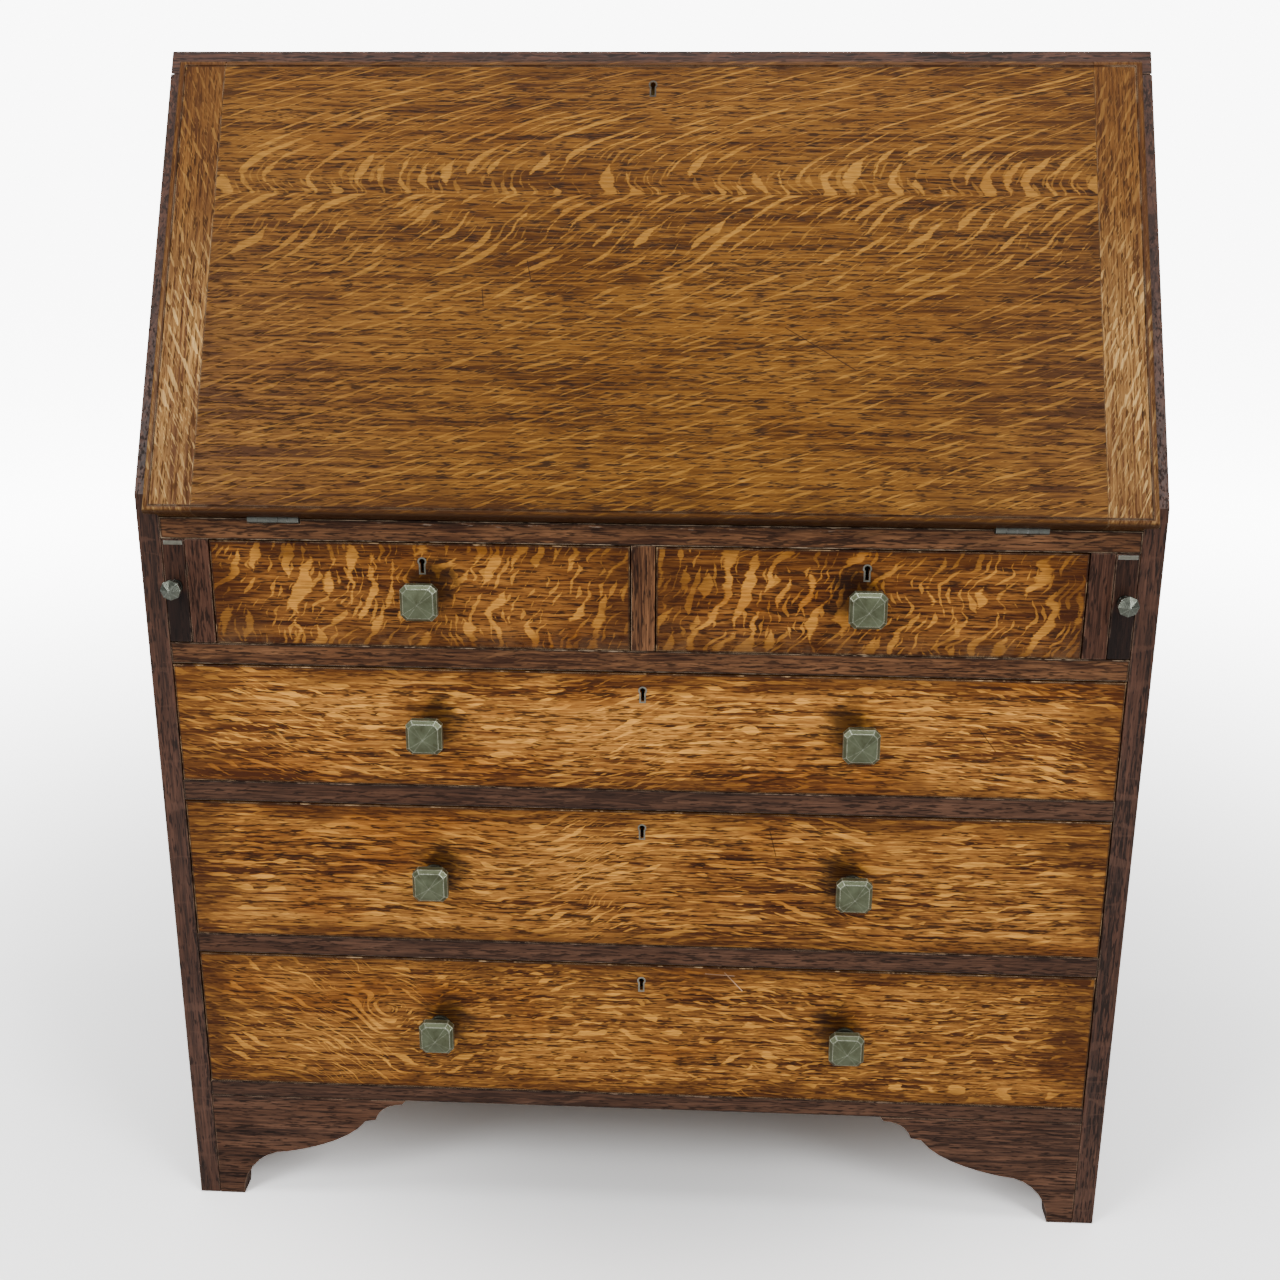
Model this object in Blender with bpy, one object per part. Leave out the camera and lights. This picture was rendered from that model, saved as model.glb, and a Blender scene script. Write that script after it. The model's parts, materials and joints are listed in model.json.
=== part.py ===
"""Oak fall-front secretary desk (bureau), modelled as a cabinet maker would build it.

The desk stands on Z = 0 and faces -Y, with +X to its right. Lengths are in metres.
The origin is under the middle of the whole desk, knobs included.
Every board and fitting is an object of its own. Pieces that move hang from an empty
that stands on the axis of their joint, and are modelled in that empty's own frame.
"""
from math import cos, pi, radians, sin, tan

import bmesh
import bpy
from mathutils import Vector
from mathutils.geometry import interpolate_bezier

# Overall sizes
WIDTH = 0.890
CASE_DEPTH = 0.450
SLOPE = radians(64)                 # the sloping front, from horizontal

# Carcase boards
SIDE_THICKNESS = 0.020
TOP_THICKNESS = 0.020
BACK_THICKNESS = 0.012
RAIL_THICKNESS = 0.0196
RAIL_DEPTH = 0.060
BOTTOM_RAIL_THICKNESS = 0.0165
DUST_BOARD_THICKNESS = 0.010
DRAWER_DIVIDER = 0.021
LOPER_DIVIDER = 0.021

# Feet
FOOT_HEIGHT = 0.114                 # floor to the underside of the bottom rail
BRACKET_THICKNESS = 0.020
BRACKET_REACH = 0.193               # from the side's inner face towards the middle
BRACKET_TOE = 0.025
BRACKET_HEEL_DROP = 0.0632          # rail underside down to the end of the big cove
# Two sweeps of the bracket: start, two handles and end, as shares of reach and of drop
BRACKET_OGEE = ((0.371, 1.0), (0.495, 0.930), (0.710, 0.745), (0.790, 0.395))
BRACKET_STEP = ((0.842, 0.365), (0.860, 0.186), (0.907, 0.078), (0.984, 0.070))
SIDE_FOOT_LENGTH = 0.085
SIDE_ARCH_HEIGHT = 0.078
SIDE_ARCH_RADIUS = 0.055

# Drawers, bottom row first: clear height of each opening
LARGE_DRAWERS = (("bottom", 0.1428), ("middle", 0.1389), ("top", 0.1145))
SMALL_DRAWER_HEIGHT = 0.0966
DRAWER_REAR_ROOM = 0.018            # between a closed drawer and the back panel
FRONT_THICKNESS = 0.020
FRONT_REBATE = 0.010
LINING_THICKNESS = 0.009
DRAWER_BOTTOM_THICKNESS = 0.007
LINING_DROP = 0.012                 # drawer sides stop this far below the front's top
KNOB_SET_IN = 0.0030                # knobs and small keyholes, inwards of a small drawer's middle
KEYHOLE_DROP = 0.020                # centre of a keyhole below the top of its front

# Fall front, hinged along its lower inner edge
FALL_THICKNESS = 0.019
FALL_LENGTH = 0.4224
LIP_THICKNESS = 0.0095
LIP_LAP = 0.009                     # lip over the side's edge and over the top's edge
CLEAT_WIDTH = 0.0435
FALL_KEYHOLE_DROP = 0.028

# Hinges of the fall
HINGE_LENGTH = 0.045
HINGE_INSET = 0.102                 # side board to the middle of the hinge
LEAF_THICKNESS = 0.0018
LEAF_WIDTH = 0.032
BARREL_RADIUS = 0.0035
PIN_RADIUS = 0.0014
KNUCKLES = 5

# Lock of the fall
LOCK_WIDTH = 0.056
LOCK_HEIGHT = 0.034
LOCK_THICKNESS = 0.010
SELVEDGE_WIDTH = 0.070
SELVEDGE_THICKNESS = 0.0016

# Lopers, the two bars that slide out and carry the open fall
LOPER_WIDTH = 0.0202
LOPER_REAR_ROOM = 0.068
LOPER_KNOB_RISE = 0.005             # above the middle of the loper

# Square drawer knobs and small loper knobs
KNOB_HALF = 0.0162
KNOB_CORNER = 0.0050
KNOB_REACH = 0.030
KNOB_NECK_RADIUS = 0.0065
KNOB_COLLAR_RADIUS = 0.0105
LOPER_KNOB_RADIUS = 0.0095
LOPER_KNOB_REACH = 0.020

# Fittings inside the desk
GALLERY_SETBACK = 0.058             # behind the front of the top board's underside
GALLERY_BOARD = 0.008
GALLERY_CENTRE_WIDTH = 0.236
PIGEONHOLES = 4                     # in each flank
PIGEONHOLE_HEIGHT = 0.176
INNER_DRAWER_HEIGHT = 0.066
INNER_DRAWER_REAR_ROOM = 0.020
INNER_DRAWER_WALL = 0.006
INNER_KNOB_RADIUS = 0.0075
INNER_KNOB_REACH = 0.016

# Keyholes
KEYHOLE_RADIUS = 0.0026
KEYHOLE_SLOT = 0.0030
KEYHOLE_LENGTH = 0.013

# Clearances
JOINT_GAP = 0.0003                  # between pieces that are glued or nailed together
SEAT_GAP = 0.0005                   # under the fall's lip, and under the open fall
FALL_SIDE_CLEARANCE = 0.0008
FALL_END_CLEARANCE = 0.0008
DRAWER_SIDE_CLEARANCE = 0.0010
DRAWER_TOP_CLEARANCE = 0.0013
RUNNING_GAP = 0.0004
SLIDE_CLEARANCE = 0.0004
RELIEF = 0.0007                     # round the hinge barrels and plates

CIRCLE_STEPS = 16
CURVE_STEPS = 7

# Places worked out from the sizes above
HALF_WIDTH = WIDTH / 2
HALF_INSIDE = HALF_WIDTH - SIDE_THICKNESS
FRONT_REACH = max(KNOB_REACH, FALL_THICKNESS * sin(SLOPE))   # what stands before the drawers
FRONT = -(CASE_DEPTH - FRONT_REACH) / 2
REAR = FRONT + CASE_DEPTH
BACK_FACE = REAR - BACK_THICKNESS
BASE_TOP = FOOT_HEIGHT + BOTTOM_RAIL_THICKNESS
SMALL_DRAWER_FLOOR = BASE_TOP + sum(height + RAIL_THICKNESS for _, height in LARGE_DRAWERS)
SLOT_TOP = SMALL_DRAWER_FLOOR + SMALL_DRAWER_HEIGHT
BED_TOP = SLOT_TOP + FALL_THICKNESS
LIP_SEAT = FALL_THICKNESS - LIP_THICKNESS
LIP_TOP = FALL_END_CLEARANCE + FALL_LENGTH
TONGUE_TOP = LIP_TOP - LIP_LAP
SLOT_OUTER = HALF_INSIDE
SLOT_INNER = SLOT_OUTER - LOPER_WIDTH - 2 * SLIDE_CLEARANCE
SMALL_OUTER = SLOT_INNER - LOPER_DIVIDER
SMALL_INNER = DRAWER_DIVIDER / 2
SMALL_CENTRE = (SMALL_INNER + SMALL_OUTER) / 2
KNOB_CENTRE = SMALL_CENTRE - KNOB_SET_IN
DRAWER_LENGTH = CASE_DEPTH - BACK_THICKNESS - DRAWER_REAR_ROOM
LOPER_LENGTH = CASE_DEPTH - BACK_THICKNESS - LOPER_REAR_ROOM
HINGE_CENTRE = HALF_INSIDE - HINGE_INSET
TOP_UNDERSIDE = BED_TOP + (TONGUE_TOP + FALL_END_CLEARANCE) * sin(SLOPE) + LIP_SEAT * cos(SLOPE)
TOP = TOP_UNDERSIDE + TOP_THICKNESS
SIDES = (("left", -1), ("right", 1))


def slope_y(height):
    """Y of the carcase's sloping face at a height above the floor."""
    return FRONT + (height - BED_TOP) / tan(SLOPE) - (LIP_SEAT - SEAT_GAP) / sin(SLOPE)


GALLERY_FACE = slope_y(TOP_UNDERSIDE) + GALLERY_SETBACK
GALLERY_DEPTH = BACK_FACE - JOINT_GAP - GALLERY_FACE


def clear_file():
    for leftover in list(bpy.data.objects):
        bpy.data.objects.remove(leftover, do_unlink=True)


def finish(name, color, roughness, metallic=0.0):
    material = bpy.data.materials.new(name)
    material.use_nodes = True
    shader = material.node_tree.nodes["Principled BSDF"]
    shader.inputs["Base Color"].default_value = (*color, 1.0)
    shader.inputs["Roughness"].default_value = roughness
    shader.inputs["Metallic"].default_value = metallic
    material.diffuse_color = (*color, 1.0)
    return material


def add_object(name, mesh_tool, material, parent=None):
    """Close a bmesh into an object, in its parent's frame, with its faces pointing out."""
    bmesh.ops.recalc_face_normals(mesh_tool, faces=mesh_tool.faces[:])
    mesh = bpy.data.meshes.new(name)
    mesh_tool.to_mesh(mesh)
    mesh_tool.free()
    mesh.materials.append(material)
    piece = bpy.data.objects.new(name, mesh)
    bpy.context.collection.objects.link(piece)
    piece.parent = parent
    return piece


def box_mesh(low, high, mesh_tool=None):
    mesh_tool = mesh_tool or bmesh.new()
    corners = bmesh.ops.create_cube(mesh_tool, size=1.0)["verts"]
    low, high = Vector(low), Vector(high)
    bmesh.ops.scale(mesh_tool, vec=high - low, verts=corners)
    bmesh.ops.translate(mesh_tool, vec=(low + high) / 2, verts=corners)
    return mesh_tool


def box(name, low, high, material, parent=None):
    return add_object(name, box_mesh(low, high), material, parent)


def prism_mesh(outline, along, start, end, mesh_tool=None):
    """Extrude a flat outline along x (points are y, z), y (x, z) or z (x, y)."""
    mesh_tool = mesh_tool or bmesh.new()
    place = {
        "x": lambda a, b: (start, a, b),
        "y": lambda a, b: (a, start, b),
        "z": lambda a, b: (a, b, start),
    }[along]
    travel = Vector([end - start if letter == along else 0.0 for letter in "xyz"])
    face = mesh_tool.faces.new([mesh_tool.verts.new(place(*point)) for point in outline])
    grown = bmesh.ops.extrude_face_region(mesh_tool, geom=[face])["geom"]
    moved = [item for item in grown if isinstance(item, bmesh.types.BMVert)]
    bmesh.ops.translate(mesh_tool, vec=travel, verts=moved)
    return mesh_tool


def prism(name, outline, along, start, end, material, parent=None):
    return add_object(name, prism_mesh(outline, along, start, end), material, parent)


def loft(name, rings, material, parent=None):
    """Bridge rings of equal point count and cap both ends."""
    mesh_tool = bmesh.new()
    loops = [[mesh_tool.verts.new(point) for point in ring] for ring in rings]
    for lower, upper in zip(loops, loops[1:]):
        for index in range(len(lower)):
            after = (index + 1) % len(lower)
            mesh_tool.faces.new((lower[index], lower[after], upper[after], upper[index]))
    mesh_tool.faces.new(loops[0])
    mesh_tool.faces.new(loops[-1])
    return add_object(name, mesh_tool, material, parent)


def rod_mesh(radius, start, end, y=0.0, z=0.0):
    """A round rod along X."""
    angles = [2 * pi * (step + 0.5) / CIRCLE_STEPS for step in range(CIRCLE_STEPS)]
    outline = [(y + radius * cos(angle), z + radius * sin(angle)) for angle in angles]
    return prism_mesh(outline, "x", start, end)


def carve(piece, mesh_tool, operation="DIFFERENCE"):
    """Cut a shape out of a piece, or join it on, with a Boolean that stays live."""
    tool = add_object(piece.name + "_tool", mesh_tool, piece.data.materials[0], piece.parent)
    tool.hide_render = True
    tool.display_type = "WIRE"
    boolean = piece.modifiers.new(operation.lower(), "BOOLEAN")
    boolean.operation = operation
    boolean.solver = "EXACT"
    boolean.object = tool
    return piece


def axis_empty(name, location, rotation=(0.0, 0.0, 0.0)):
    empty = bpy.data.objects.new(name, None)
    empty.location = location
    empty.rotation_euler = rotation
    bpy.context.collection.objects.link(empty)
    return empty


def span(side, inner, outer):
    """The lower and upper X of a stretch that is mirrored to the left for side -1."""
    return sorted((side * inner, side * outer))


def keyhole_outline(x, z):
    """Round above, with a narrower slot below; z is the middle of its height."""
    centre = z + KEYHOLE_LENGTH / 2 - KEYHOLE_RADIUS
    foot = z - KEYHOLE_LENGTH / 2
    half = KEYHOLE_SLOT / 2
    turn = [radians(-54 + 288 * step / (CIRCLE_STEPS - 4)) for step in range(CIRCLE_STEPS - 3)]
    arc = [(x + KEYHOLE_RADIUS * cos(angle), centre + KEYHOLE_RADIUS * sin(angle)) for angle in turn]
    return [(x - half, foot), (x + half, foot)] + arc


# ---------------------------------------------------------------- carcase

def side_outline():
    """Front edge, sloping edge, top and back, with an arch cut between two feet."""
    arch_front = FRONT + SIDE_FOOT_LENGTH
    arch_rear = REAR - SIDE_FOOT_LENGTH
    quarter = [radians(90 * step / CURVE_STEPS) for step in range(CURVE_STEPS + 1)]
    shoulder = SIDE_ARCH_HEIGHT - SIDE_ARCH_RADIUS
    rise = [(arch_front + SIDE_ARCH_RADIUS * (1 - cos(angle)),
             shoulder + SIDE_ARCH_RADIUS * sin(angle)) for angle in quarter]
    fall = [(arch_rear - (y - arch_front), z) for y, z in reversed(rise)]
    kink = BED_TOP + (LIP_SEAT - SEAT_GAP) / cos(SLOPE)
    upper = TOP_UNDERSIDE - JOINT_GAP
    return ([(FRONT, 0.0), (arch_front, 0.0)] + rise + fall
            + [(arch_rear, 0.0), (REAR, 0.0), (REAR, upper), (slope_y(upper), upper), (FRONT, kink)])


def bracket_outline(side):
    """Ogee bracket: a cove at the toe, a long rising sweep, then two small steps."""
    outer = HALF_INSIDE - 2 * JOINT_GAP
    toe = HALF_INSIDE - BRACKET_TOE
    upper = FOOT_HEIGHT - JOINT_GAP
    heel = HALF_INSIDE - BRACKET_OGEE[0][0] * BRACKET_REACH
    cove_top = FOOT_HEIGHT - BRACKET_HEEL_DROP
    cove = [(heel + (toe - heel) * cos(angle), cove_top * sin(angle))
            for angle in (radians(90 * step / CURVE_STEPS) for step in range(CURVE_STEPS + 1))]

    def sweep(knots):
        points = [Vector((HALF_INSIDE - x * BRACKET_REACH, FOOT_HEIGHT - z * BRACKET_HEEL_DROP))
                  for x, z in knots]
        return [tuple(point)[:2] for point in interpolate_bezier(*points, CURVE_STEPS + 1)]

    tip = (HALF_INSIDE - BRACKET_REACH, upper)
    outline = ([(outer, 0.0)] + cove + sweep(BRACKET_OGEE)[1:] + sweep(BRACKET_STEP)
               + [tip, (outer, upper)])
    return [(side * x, z) for x, z in outline]


def build_carcase(oak, lining):
    inside = HALF_INSIDE - JOINT_GAP
    rail_rear = FRONT + RAIL_DEPTH
    board_front = rail_rear + JOINT_GAP
    board_rear = BACK_FACE - JOINT_GAP

    for label, side in SIDES:
        prism("side_" + label, side_outline(), "x", *span(side, HALF_INSIDE, HALF_WIDTH), oak)
        prism("bracket_" + label, bracket_outline(side), "y", FRONT, FRONT + BRACKET_THICKNESS, oak)
        low, high = span(side, SMALL_OUTER, SLOT_INNER)
        box("loper_divider_" + label, (low, FRONT, SMALL_DRAWER_FLOOR + JOINT_GAP),
            (high, board_rear, SLOT_TOP - JOINT_GAP), oak)

    top_profile = [(slope_y(TOP_UNDERSIDE), TOP_UNDERSIDE), (REAR, TOP_UNDERSIDE),
                   (REAR, TOP), (slope_y(TOP), TOP)]
    prism("top_board", top_profile, "x", -HALF_WIDTH, HALF_WIDTH, oak)
    box("back_panel", (-inside, BACK_FACE, FOOT_HEIGHT), (inside, REAR, TOP_UNDERSIDE - JOINT_GAP), lining)
    box("drawer_divider", (-SMALL_INNER, FRONT, SMALL_DRAWER_FLOOR + JOINT_GAP),
        (SMALL_INNER, board_rear, SLOT_TOP - JOINT_GAP), oak)
    box("writing_bed", (-inside, board_front, SLOT_TOP), (inside, board_rear, BED_TOP), lining)

    box("bottom_rail", (-inside, FRONT, FOOT_HEIGHT), (inside, rail_rear, BASE_TOP), oak)
    box("base_board", (-inside, board_front, BASE_TOP - BOTTOM_RAIL_THICKNESS),
        (inside, board_rear, BASE_TOP), lining)
    rail_top = BASE_TOP
    for name, (_, height) in zip(("lower", "middle", "upper"), LARGE_DRAWERS):
        rail_top += height + RAIL_THICKNESS
        box(name + "_rail", (-inside, FRONT, rail_top - RAIL_THICKNESS),
            (inside, rail_rear, rail_top), oak)
        box(name + "_dust_board", (-inside, board_front, rail_top - DUST_BOARD_THICKNESS),
            (inside, board_rear, rail_top), lining)

    rail = box("hinge_rail", (-inside, FRONT, SLOT_TOP), (inside, rail_rear, BED_TOP), oak)
    cut_hinge_seats(rail, FRONT, BED_TOP, -1)


# ---------------------------------------------------------------- hinges

def cut_hinge_seats(board, axis_y, face_z, into):
    """Let both hinges into a board: a shallow seat for each plate and a round for the barrel.

    The hinge axis runs along X at axis_y, face_z; into is +1 when the wood is above
    the face and -1 when it is below.
    """
    for side in (-1, 1):
        low, high = span(side, HINGE_CENTRE - HINGE_LENGTH / 2 - RELIEF,
                         HINGE_CENTRE + HINGE_LENGTH / 2 + RELIEF)
        depth = into * (LEAF_THICKNESS + JOINT_GAP)
        bottom, upper = sorted((face_z + depth, face_z - into * RELIEF))
        carve(board, box_mesh((low, axis_y - RELIEF, bottom),
                              (high, axis_y + LEAF_WIDTH + JOINT_GAP, upper)))
        carve(board, rod_mesh(BARREL_RADIUS + RELIEF, low, high, axis_y, face_z))


def hinge_leaf(name, centre, plate_side, knuckle_parity, metal, parent=None, axis=(0.0, 0.0)):
    """A leaf whose plate lies along +Y from the barrel; plate_side is +1 above the axis."""
    axis_y, axis_z = axis
    pitch = HINGE_LENGTH / KNUCKLES
    start = centre - HINGE_LENGTH / 2
    clear = BARREL_RADIUS + RELIEF
    bottom, upper = sorted((axis_z, axis_z + plate_side * LEAF_THICKNESS))
    leaf = box(name, (start, axis_y + clear, bottom),
               (start + HINGE_LENGTH, axis_y + LEAF_WIDTH, upper), metal, parent)
    has_pin = knuckle_parity == 0
    for index in range(knuckle_parity, KNUCKLES, 2):
        low = start + index * pitch + (JOINT_GAP / 2 if index else 0.0)
        high = start + (index + 1) * pitch - (JOINT_GAP / 2 if index < KNUCKLES - 1 else 0.0)
        carve(leaf, rod_mesh(BARREL_RADIUS, low, high, axis_y, axis_z), "UNION")
        carve(leaf, box_mesh((low, axis_y, bottom), (high, axis_y + LEAF_WIDTH / 2, upper)), "UNION")
    if has_pin:
        middle = JOINT_GAP + pitch / 2
        carve(leaf, rod_mesh(PIN_RADIUS, start + middle, start + HINGE_LENGTH - middle,
                             axis_y, axis_z), "UNION")
    else:
        carve(leaf, rod_mesh(PIN_RADIUS + JOINT_GAP, start, start + HINGE_LENGTH, axis_y, axis_z))
    return leaf


# ---------------------------------------------------------------- fall front

def fall_profile(tongue_top, lip_top):
    """Section of the fall: the full thickness, with the lip standing past the tongue."""
    return [(FALL_END_CLEARANCE, 0.0), (tongue_top, 0.0), (tongue_top, LIP_SEAT),
            (lip_top, LIP_SEAT), (lip_top, FALL_THICKNESS), (FALL_END_CLEARANCE, FALL_THICKNESS)]


def build_fall(oak, iron, brass):
    pivot = axis_empty("fall_front_axis", (0.0, FRONT, BED_TOP), (SLOPE, 0.0, 0.0))
    lip_edge = HALF_INSIDE + LIP_LAP
    tongue_edge = HALF_INSIDE - FALL_SIDE_CLEARANCE
    seam = lip_edge - CLEAT_WIDTH
    profile = fall_profile(TONGUE_TOP, LIP_TOP)

    panel = prism("fall_panel", profile, "x", -seam, seam, oak, pivot)
    cut_hinge_seats(panel, 0.0, 0.0, 1)
    lock_top = TONGUE_TOP + RELIEF
    pocket_half = LOCK_WIDTH / 2 + JOINT_GAP
    pocket_foot = TONGUE_TOP - LOCK_HEIGHT - JOINT_GAP
    carve(panel, box_mesh((-pocket_half, pocket_foot, -RELIEF),
                          (pocket_half, lock_top, LOCK_THICKNESS + JOINT_GAP)))
    selvedge_half = SELVEDGE_WIDTH / 2 + JOINT_GAP
    selvedge_depth = SELVEDGE_THICKNESS + JOINT_GAP
    carve(panel, box_mesh((-selvedge_half, TONGUE_TOP - selvedge_depth, -RELIEF),
                          (selvedge_half, lock_top, LIP_SEAT - JOINT_GAP)))
    keyhole = keyhole_outline(0.0, LIP_TOP - FALL_KEYHOLE_DROP)
    carve(panel, prism_mesh(keyhole, "z", LIP_SEAT / 2, FALL_THICKNESS + RELIEF))

    for label, side in SIDES:
        low, high = span(side, seam + JOINT_GAP, tongue_edge)
        cleat = prism("fall_cleat_" + label, profile, "x", low, high, oak, pivot)
        low, high = span(side, seam + CLEAT_WIDTH / 2, lip_edge)
        carve(cleat, box_mesh((low, FALL_END_CLEARANCE, LIP_SEAT),
                              (high, LIP_TOP, FALL_THICKNESS)), "UNION")
        hinge_leaf("fall_hinge_leaf_" + label, side * HINGE_CENTRE, 1, 1, iron, pivot)
        hinge_leaf("bed_hinge_leaf_" + label, side * HINGE_CENTRE, -1, 0, iron,
                   axis=(FRONT, BED_TOP))

    lock = box("fall_lock", (-LOCK_WIDTH / 2, TONGUE_TOP - LOCK_HEIGHT, 0.0),
               (LOCK_WIDTH / 2, TONGUE_TOP, LOCK_THICKNESS), brass, pivot)
    carve(lock, box_mesh((-SELVEDGE_WIDTH / 2, TONGUE_TOP - SELVEDGE_THICKNESS, 0.0),
                         (SELVEDGE_WIDTH / 2, TONGUE_TOP, LIP_SEAT - 2 * JOINT_GAP)), "UNION")


# ---------------------------------------------------------------- knobs

def ring_square(half, corner, reach, flat=0.0):
    """Sixteen points round a square with cut corners, on the plane y = -reach."""
    side = half - corner
    steps = (-side, -side / 3, side / 3, side)
    front = [(step, half) for step in steps]
    points = []
    for quarter in range(4):
        for u, v in front:
            x, z = [(u, v), (v, -u), (-u, -v), (-v, u)][quarter]
            points.append((x, -reach + flat * abs(z) / half, z))
    return points


def ring_round(radius, reach):
    """Sixteen points round a circle, started so that they line up with ring_square."""
    points = []
    for quarter in range(4):
        for step in range(4):
            angle = radians(90 - 90 * quarter + 33 - 22 * step)
            points.append((radius * cos(angle), -reach, radius * sin(angle)))
    return points


def square_knob(name, x, z, parent, metal):
    """Turned collar and neck, square head with cut corners and a low hipped face."""
    head = KNOB_REACH * 0.55
    rings = [
        ring_round(KNOB_COLLAR_RADIUS, JOINT_GAP),
        ring_round(KNOB_COLLAR_RADIUS, KNOB_REACH * 0.09),
        ring_round(KNOB_NECK_RADIUS, KNOB_REACH * 0.17),
        ring_round(KNOB_NECK_RADIUS, head * 0.82),
        ring_square(KNOB_HALF * 0.90, KNOB_CORNER, head),
        ring_square(KNOB_HALF, KNOB_CORNER, head + KNOB_REACH * 0.09),
        ring_square(KNOB_HALF, KNOB_CORNER, head + KNOB_REACH * 0.19),
        ring_square(KNOB_HALF * 0.86, KNOB_CORNER * 0.86, KNOB_REACH * 0.87),
        ring_square(KNOB_HALF * 0.12, KNOB_CORNER * 0.12, KNOB_REACH),
    ]
    knob = loft(name, rings, metal, parent)
    knob.location = (x, 0.0, z)
    return knob


def turned_knob(name, x, z, radius, reach, parent, metal):
    """Small turned knob: collar, waist and a faceted button that ends in a point."""
    shape = ((0.62, 0.0), (0.62, 0.12), (0.38, 0.22), (0.38, 0.42), (0.92, 0.58),
             (1.0, 0.70), (0.80, 0.86), (0.10, 1.0))
    rings = [ring_round(radius * wide, JOINT_GAP + (reach - JOINT_GAP) * out) for wide, out in shape]
    knob = loft(name, rings, metal, parent)
    knob.location = (x, 0.0, z)
    return knob


# ---------------------------------------------------------------- lopers

def build_lopers(oak, bronze):
    height = SMALL_DRAWER_HEIGHT - SEAT_GAP - RUNNING_GAP
    for label, side in SIDES:
        middle = side * (SLOT_INNER + SLOT_OUTER) / 2
        slide = axis_empty(f"loper_{label}_slide", (middle, FRONT, SMALL_DRAWER_FLOOR + RUNNING_GAP))
        box("loper_" + label, (-LOPER_WIDTH / 2, 0.0, 0.0),
            (LOPER_WIDTH / 2, LOPER_LENGTH, height), oak, slide)
        turned_knob(f"loper_{label}_knob", 0.0, height / 2 + LOPER_KNOB_RISE,
                    LOPER_KNOB_RADIUS, LOPER_KNOB_REACH, slide, bronze)


# ---------------------------------------------------------------- drawers

def build_drawer(name, middle, floor, width, height, knobs, keyhole_x, finishes):
    """One drawer: front, a frame of two sides and a back, and a bottom nailed under it.

    The drawer's frame has its origin under the middle of its front face. middle and
    floor place it, width and height are those of its opening.
    """
    oak, lining, bronze = finishes
    slide = axis_empty(name + "_slide", (middle, FRONT, floor + RUNNING_GAP))
    half = width / 2 - DRAWER_SIDE_CLEARANCE
    tall = height - DRAWER_TOP_CLEARANCE - RUNNING_GAP
    rebate_top = DRAWER_BOTTOM_THICKNESS + JOINT_GAP
    front_profile = [(0.0, 0.0), (FRONT_THICKNESS - FRONT_REBATE, 0.0),
                     (FRONT_THICKNESS - FRONT_REBATE, rebate_top), (FRONT_THICKNESS, rebate_top),
                     (FRONT_THICKNESS, tall), (0.0, tall)]
    front = prism(name + "_front", front_profile, "x", -half, half, oak, slide)
    keyhole = keyhole_outline(keyhole_x, tall - KEYHOLE_DROP)
    carve(front, prism_mesh(keyhole, "y", -RELIEF, FRONT_THICKNESS + RELIEF))

    lining_front = FRONT_THICKNESS + JOINT_GAP
    lining_top = tall - LINING_DROP
    inner = half - LINING_THICKNESS
    plan = [(-half, lining_front), (-half, DRAWER_LENGTH), (half, DRAWER_LENGTH), (half, lining_front),
            (inner, lining_front), (inner, DRAWER_LENGTH - LINING_THICKNESS),
            (-inner, DRAWER_LENGTH - LINING_THICKNESS), (-inner, lining_front)]
    prism(name + "_frame", plan, "z", rebate_top, lining_top, lining, slide)
    box(name + "_bottom", (-half, FRONT_THICKNESS - FRONT_REBATE + JOINT_GAP, 0.0),
        (half, DRAWER_LENGTH, DRAWER_BOTTOM_THICKNESS), lining, slide)
    for knob_name, x in knobs:
        square_knob(f"{name}_{knob_name}", x, tall / 2, slide, bronze)


def build_drawers(oak, lining, bronze):
    finishes = (oak, lining, bronze)
    floor = BASE_TOP
    for label, height in LARGE_DRAWERS:
        knobs = [("knob_" + hand, side * KNOB_CENTRE) for hand, side in SIDES]
        build_drawer(f"{label}_drawer", 0.0, floor, 2 * HALF_INSIDE, height, knobs, 0.0, finishes)
        floor += height + RAIL_THICKNESS
    for label, side in SIDES:
        build_drawer(f"{label}_small_drawer", side * SMALL_CENTRE, floor, SMALL_OUTER - SMALL_INNER,
                     SMALL_DRAWER_HEIGHT, [("knob", -side * KNOB_SET_IN)], -side * KNOB_SET_IN, finishes)


# ---------------------------------------------------------------- fitted interior

def gallery_lines():
    """Grid lines of the fitted interior: x of every board face, then z of every one."""
    half_centre = GALLERY_CENTRE_WIDTH / 2
    outer = HALF_INSIDE - JOINT_GAP
    flank = outer - GALLERY_BOARD - half_centre - GALLERY_BOARD
    hole = (flank - (PIGEONHOLES - 1) * GALLERY_BOARD) / PIGEONHOLES
    right = [half_centre, half_centre + GALLERY_BOARD]
    for _ in range(PIGEONHOLES - 1):
        right += [right[-1] + hole, right[-1] + hole + GALLERY_BOARD]
    right += [outer - GALLERY_BOARD, outer]
    columns = [-x for x in reversed(right)] + right
    bottom = BED_TOP + JOINT_GAP
    shelf = bottom + GALLERY_BOARD + INNER_DRAWER_HEIGHT
    upper = shelf + GALLERY_BOARD + PIGEONHOLE_HEIGHT
    rows = [bottom, bottom + GALLERY_BOARD, shelf, shelf + GALLERY_BOARD, upper,
            upper + GALLERY_BOARD, TOP_UNDERSIDE - JOINT_GAP - GALLERY_BOARD, TOP_UNDERSIDE - JOINT_GAP]
    return columns, rows


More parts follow.
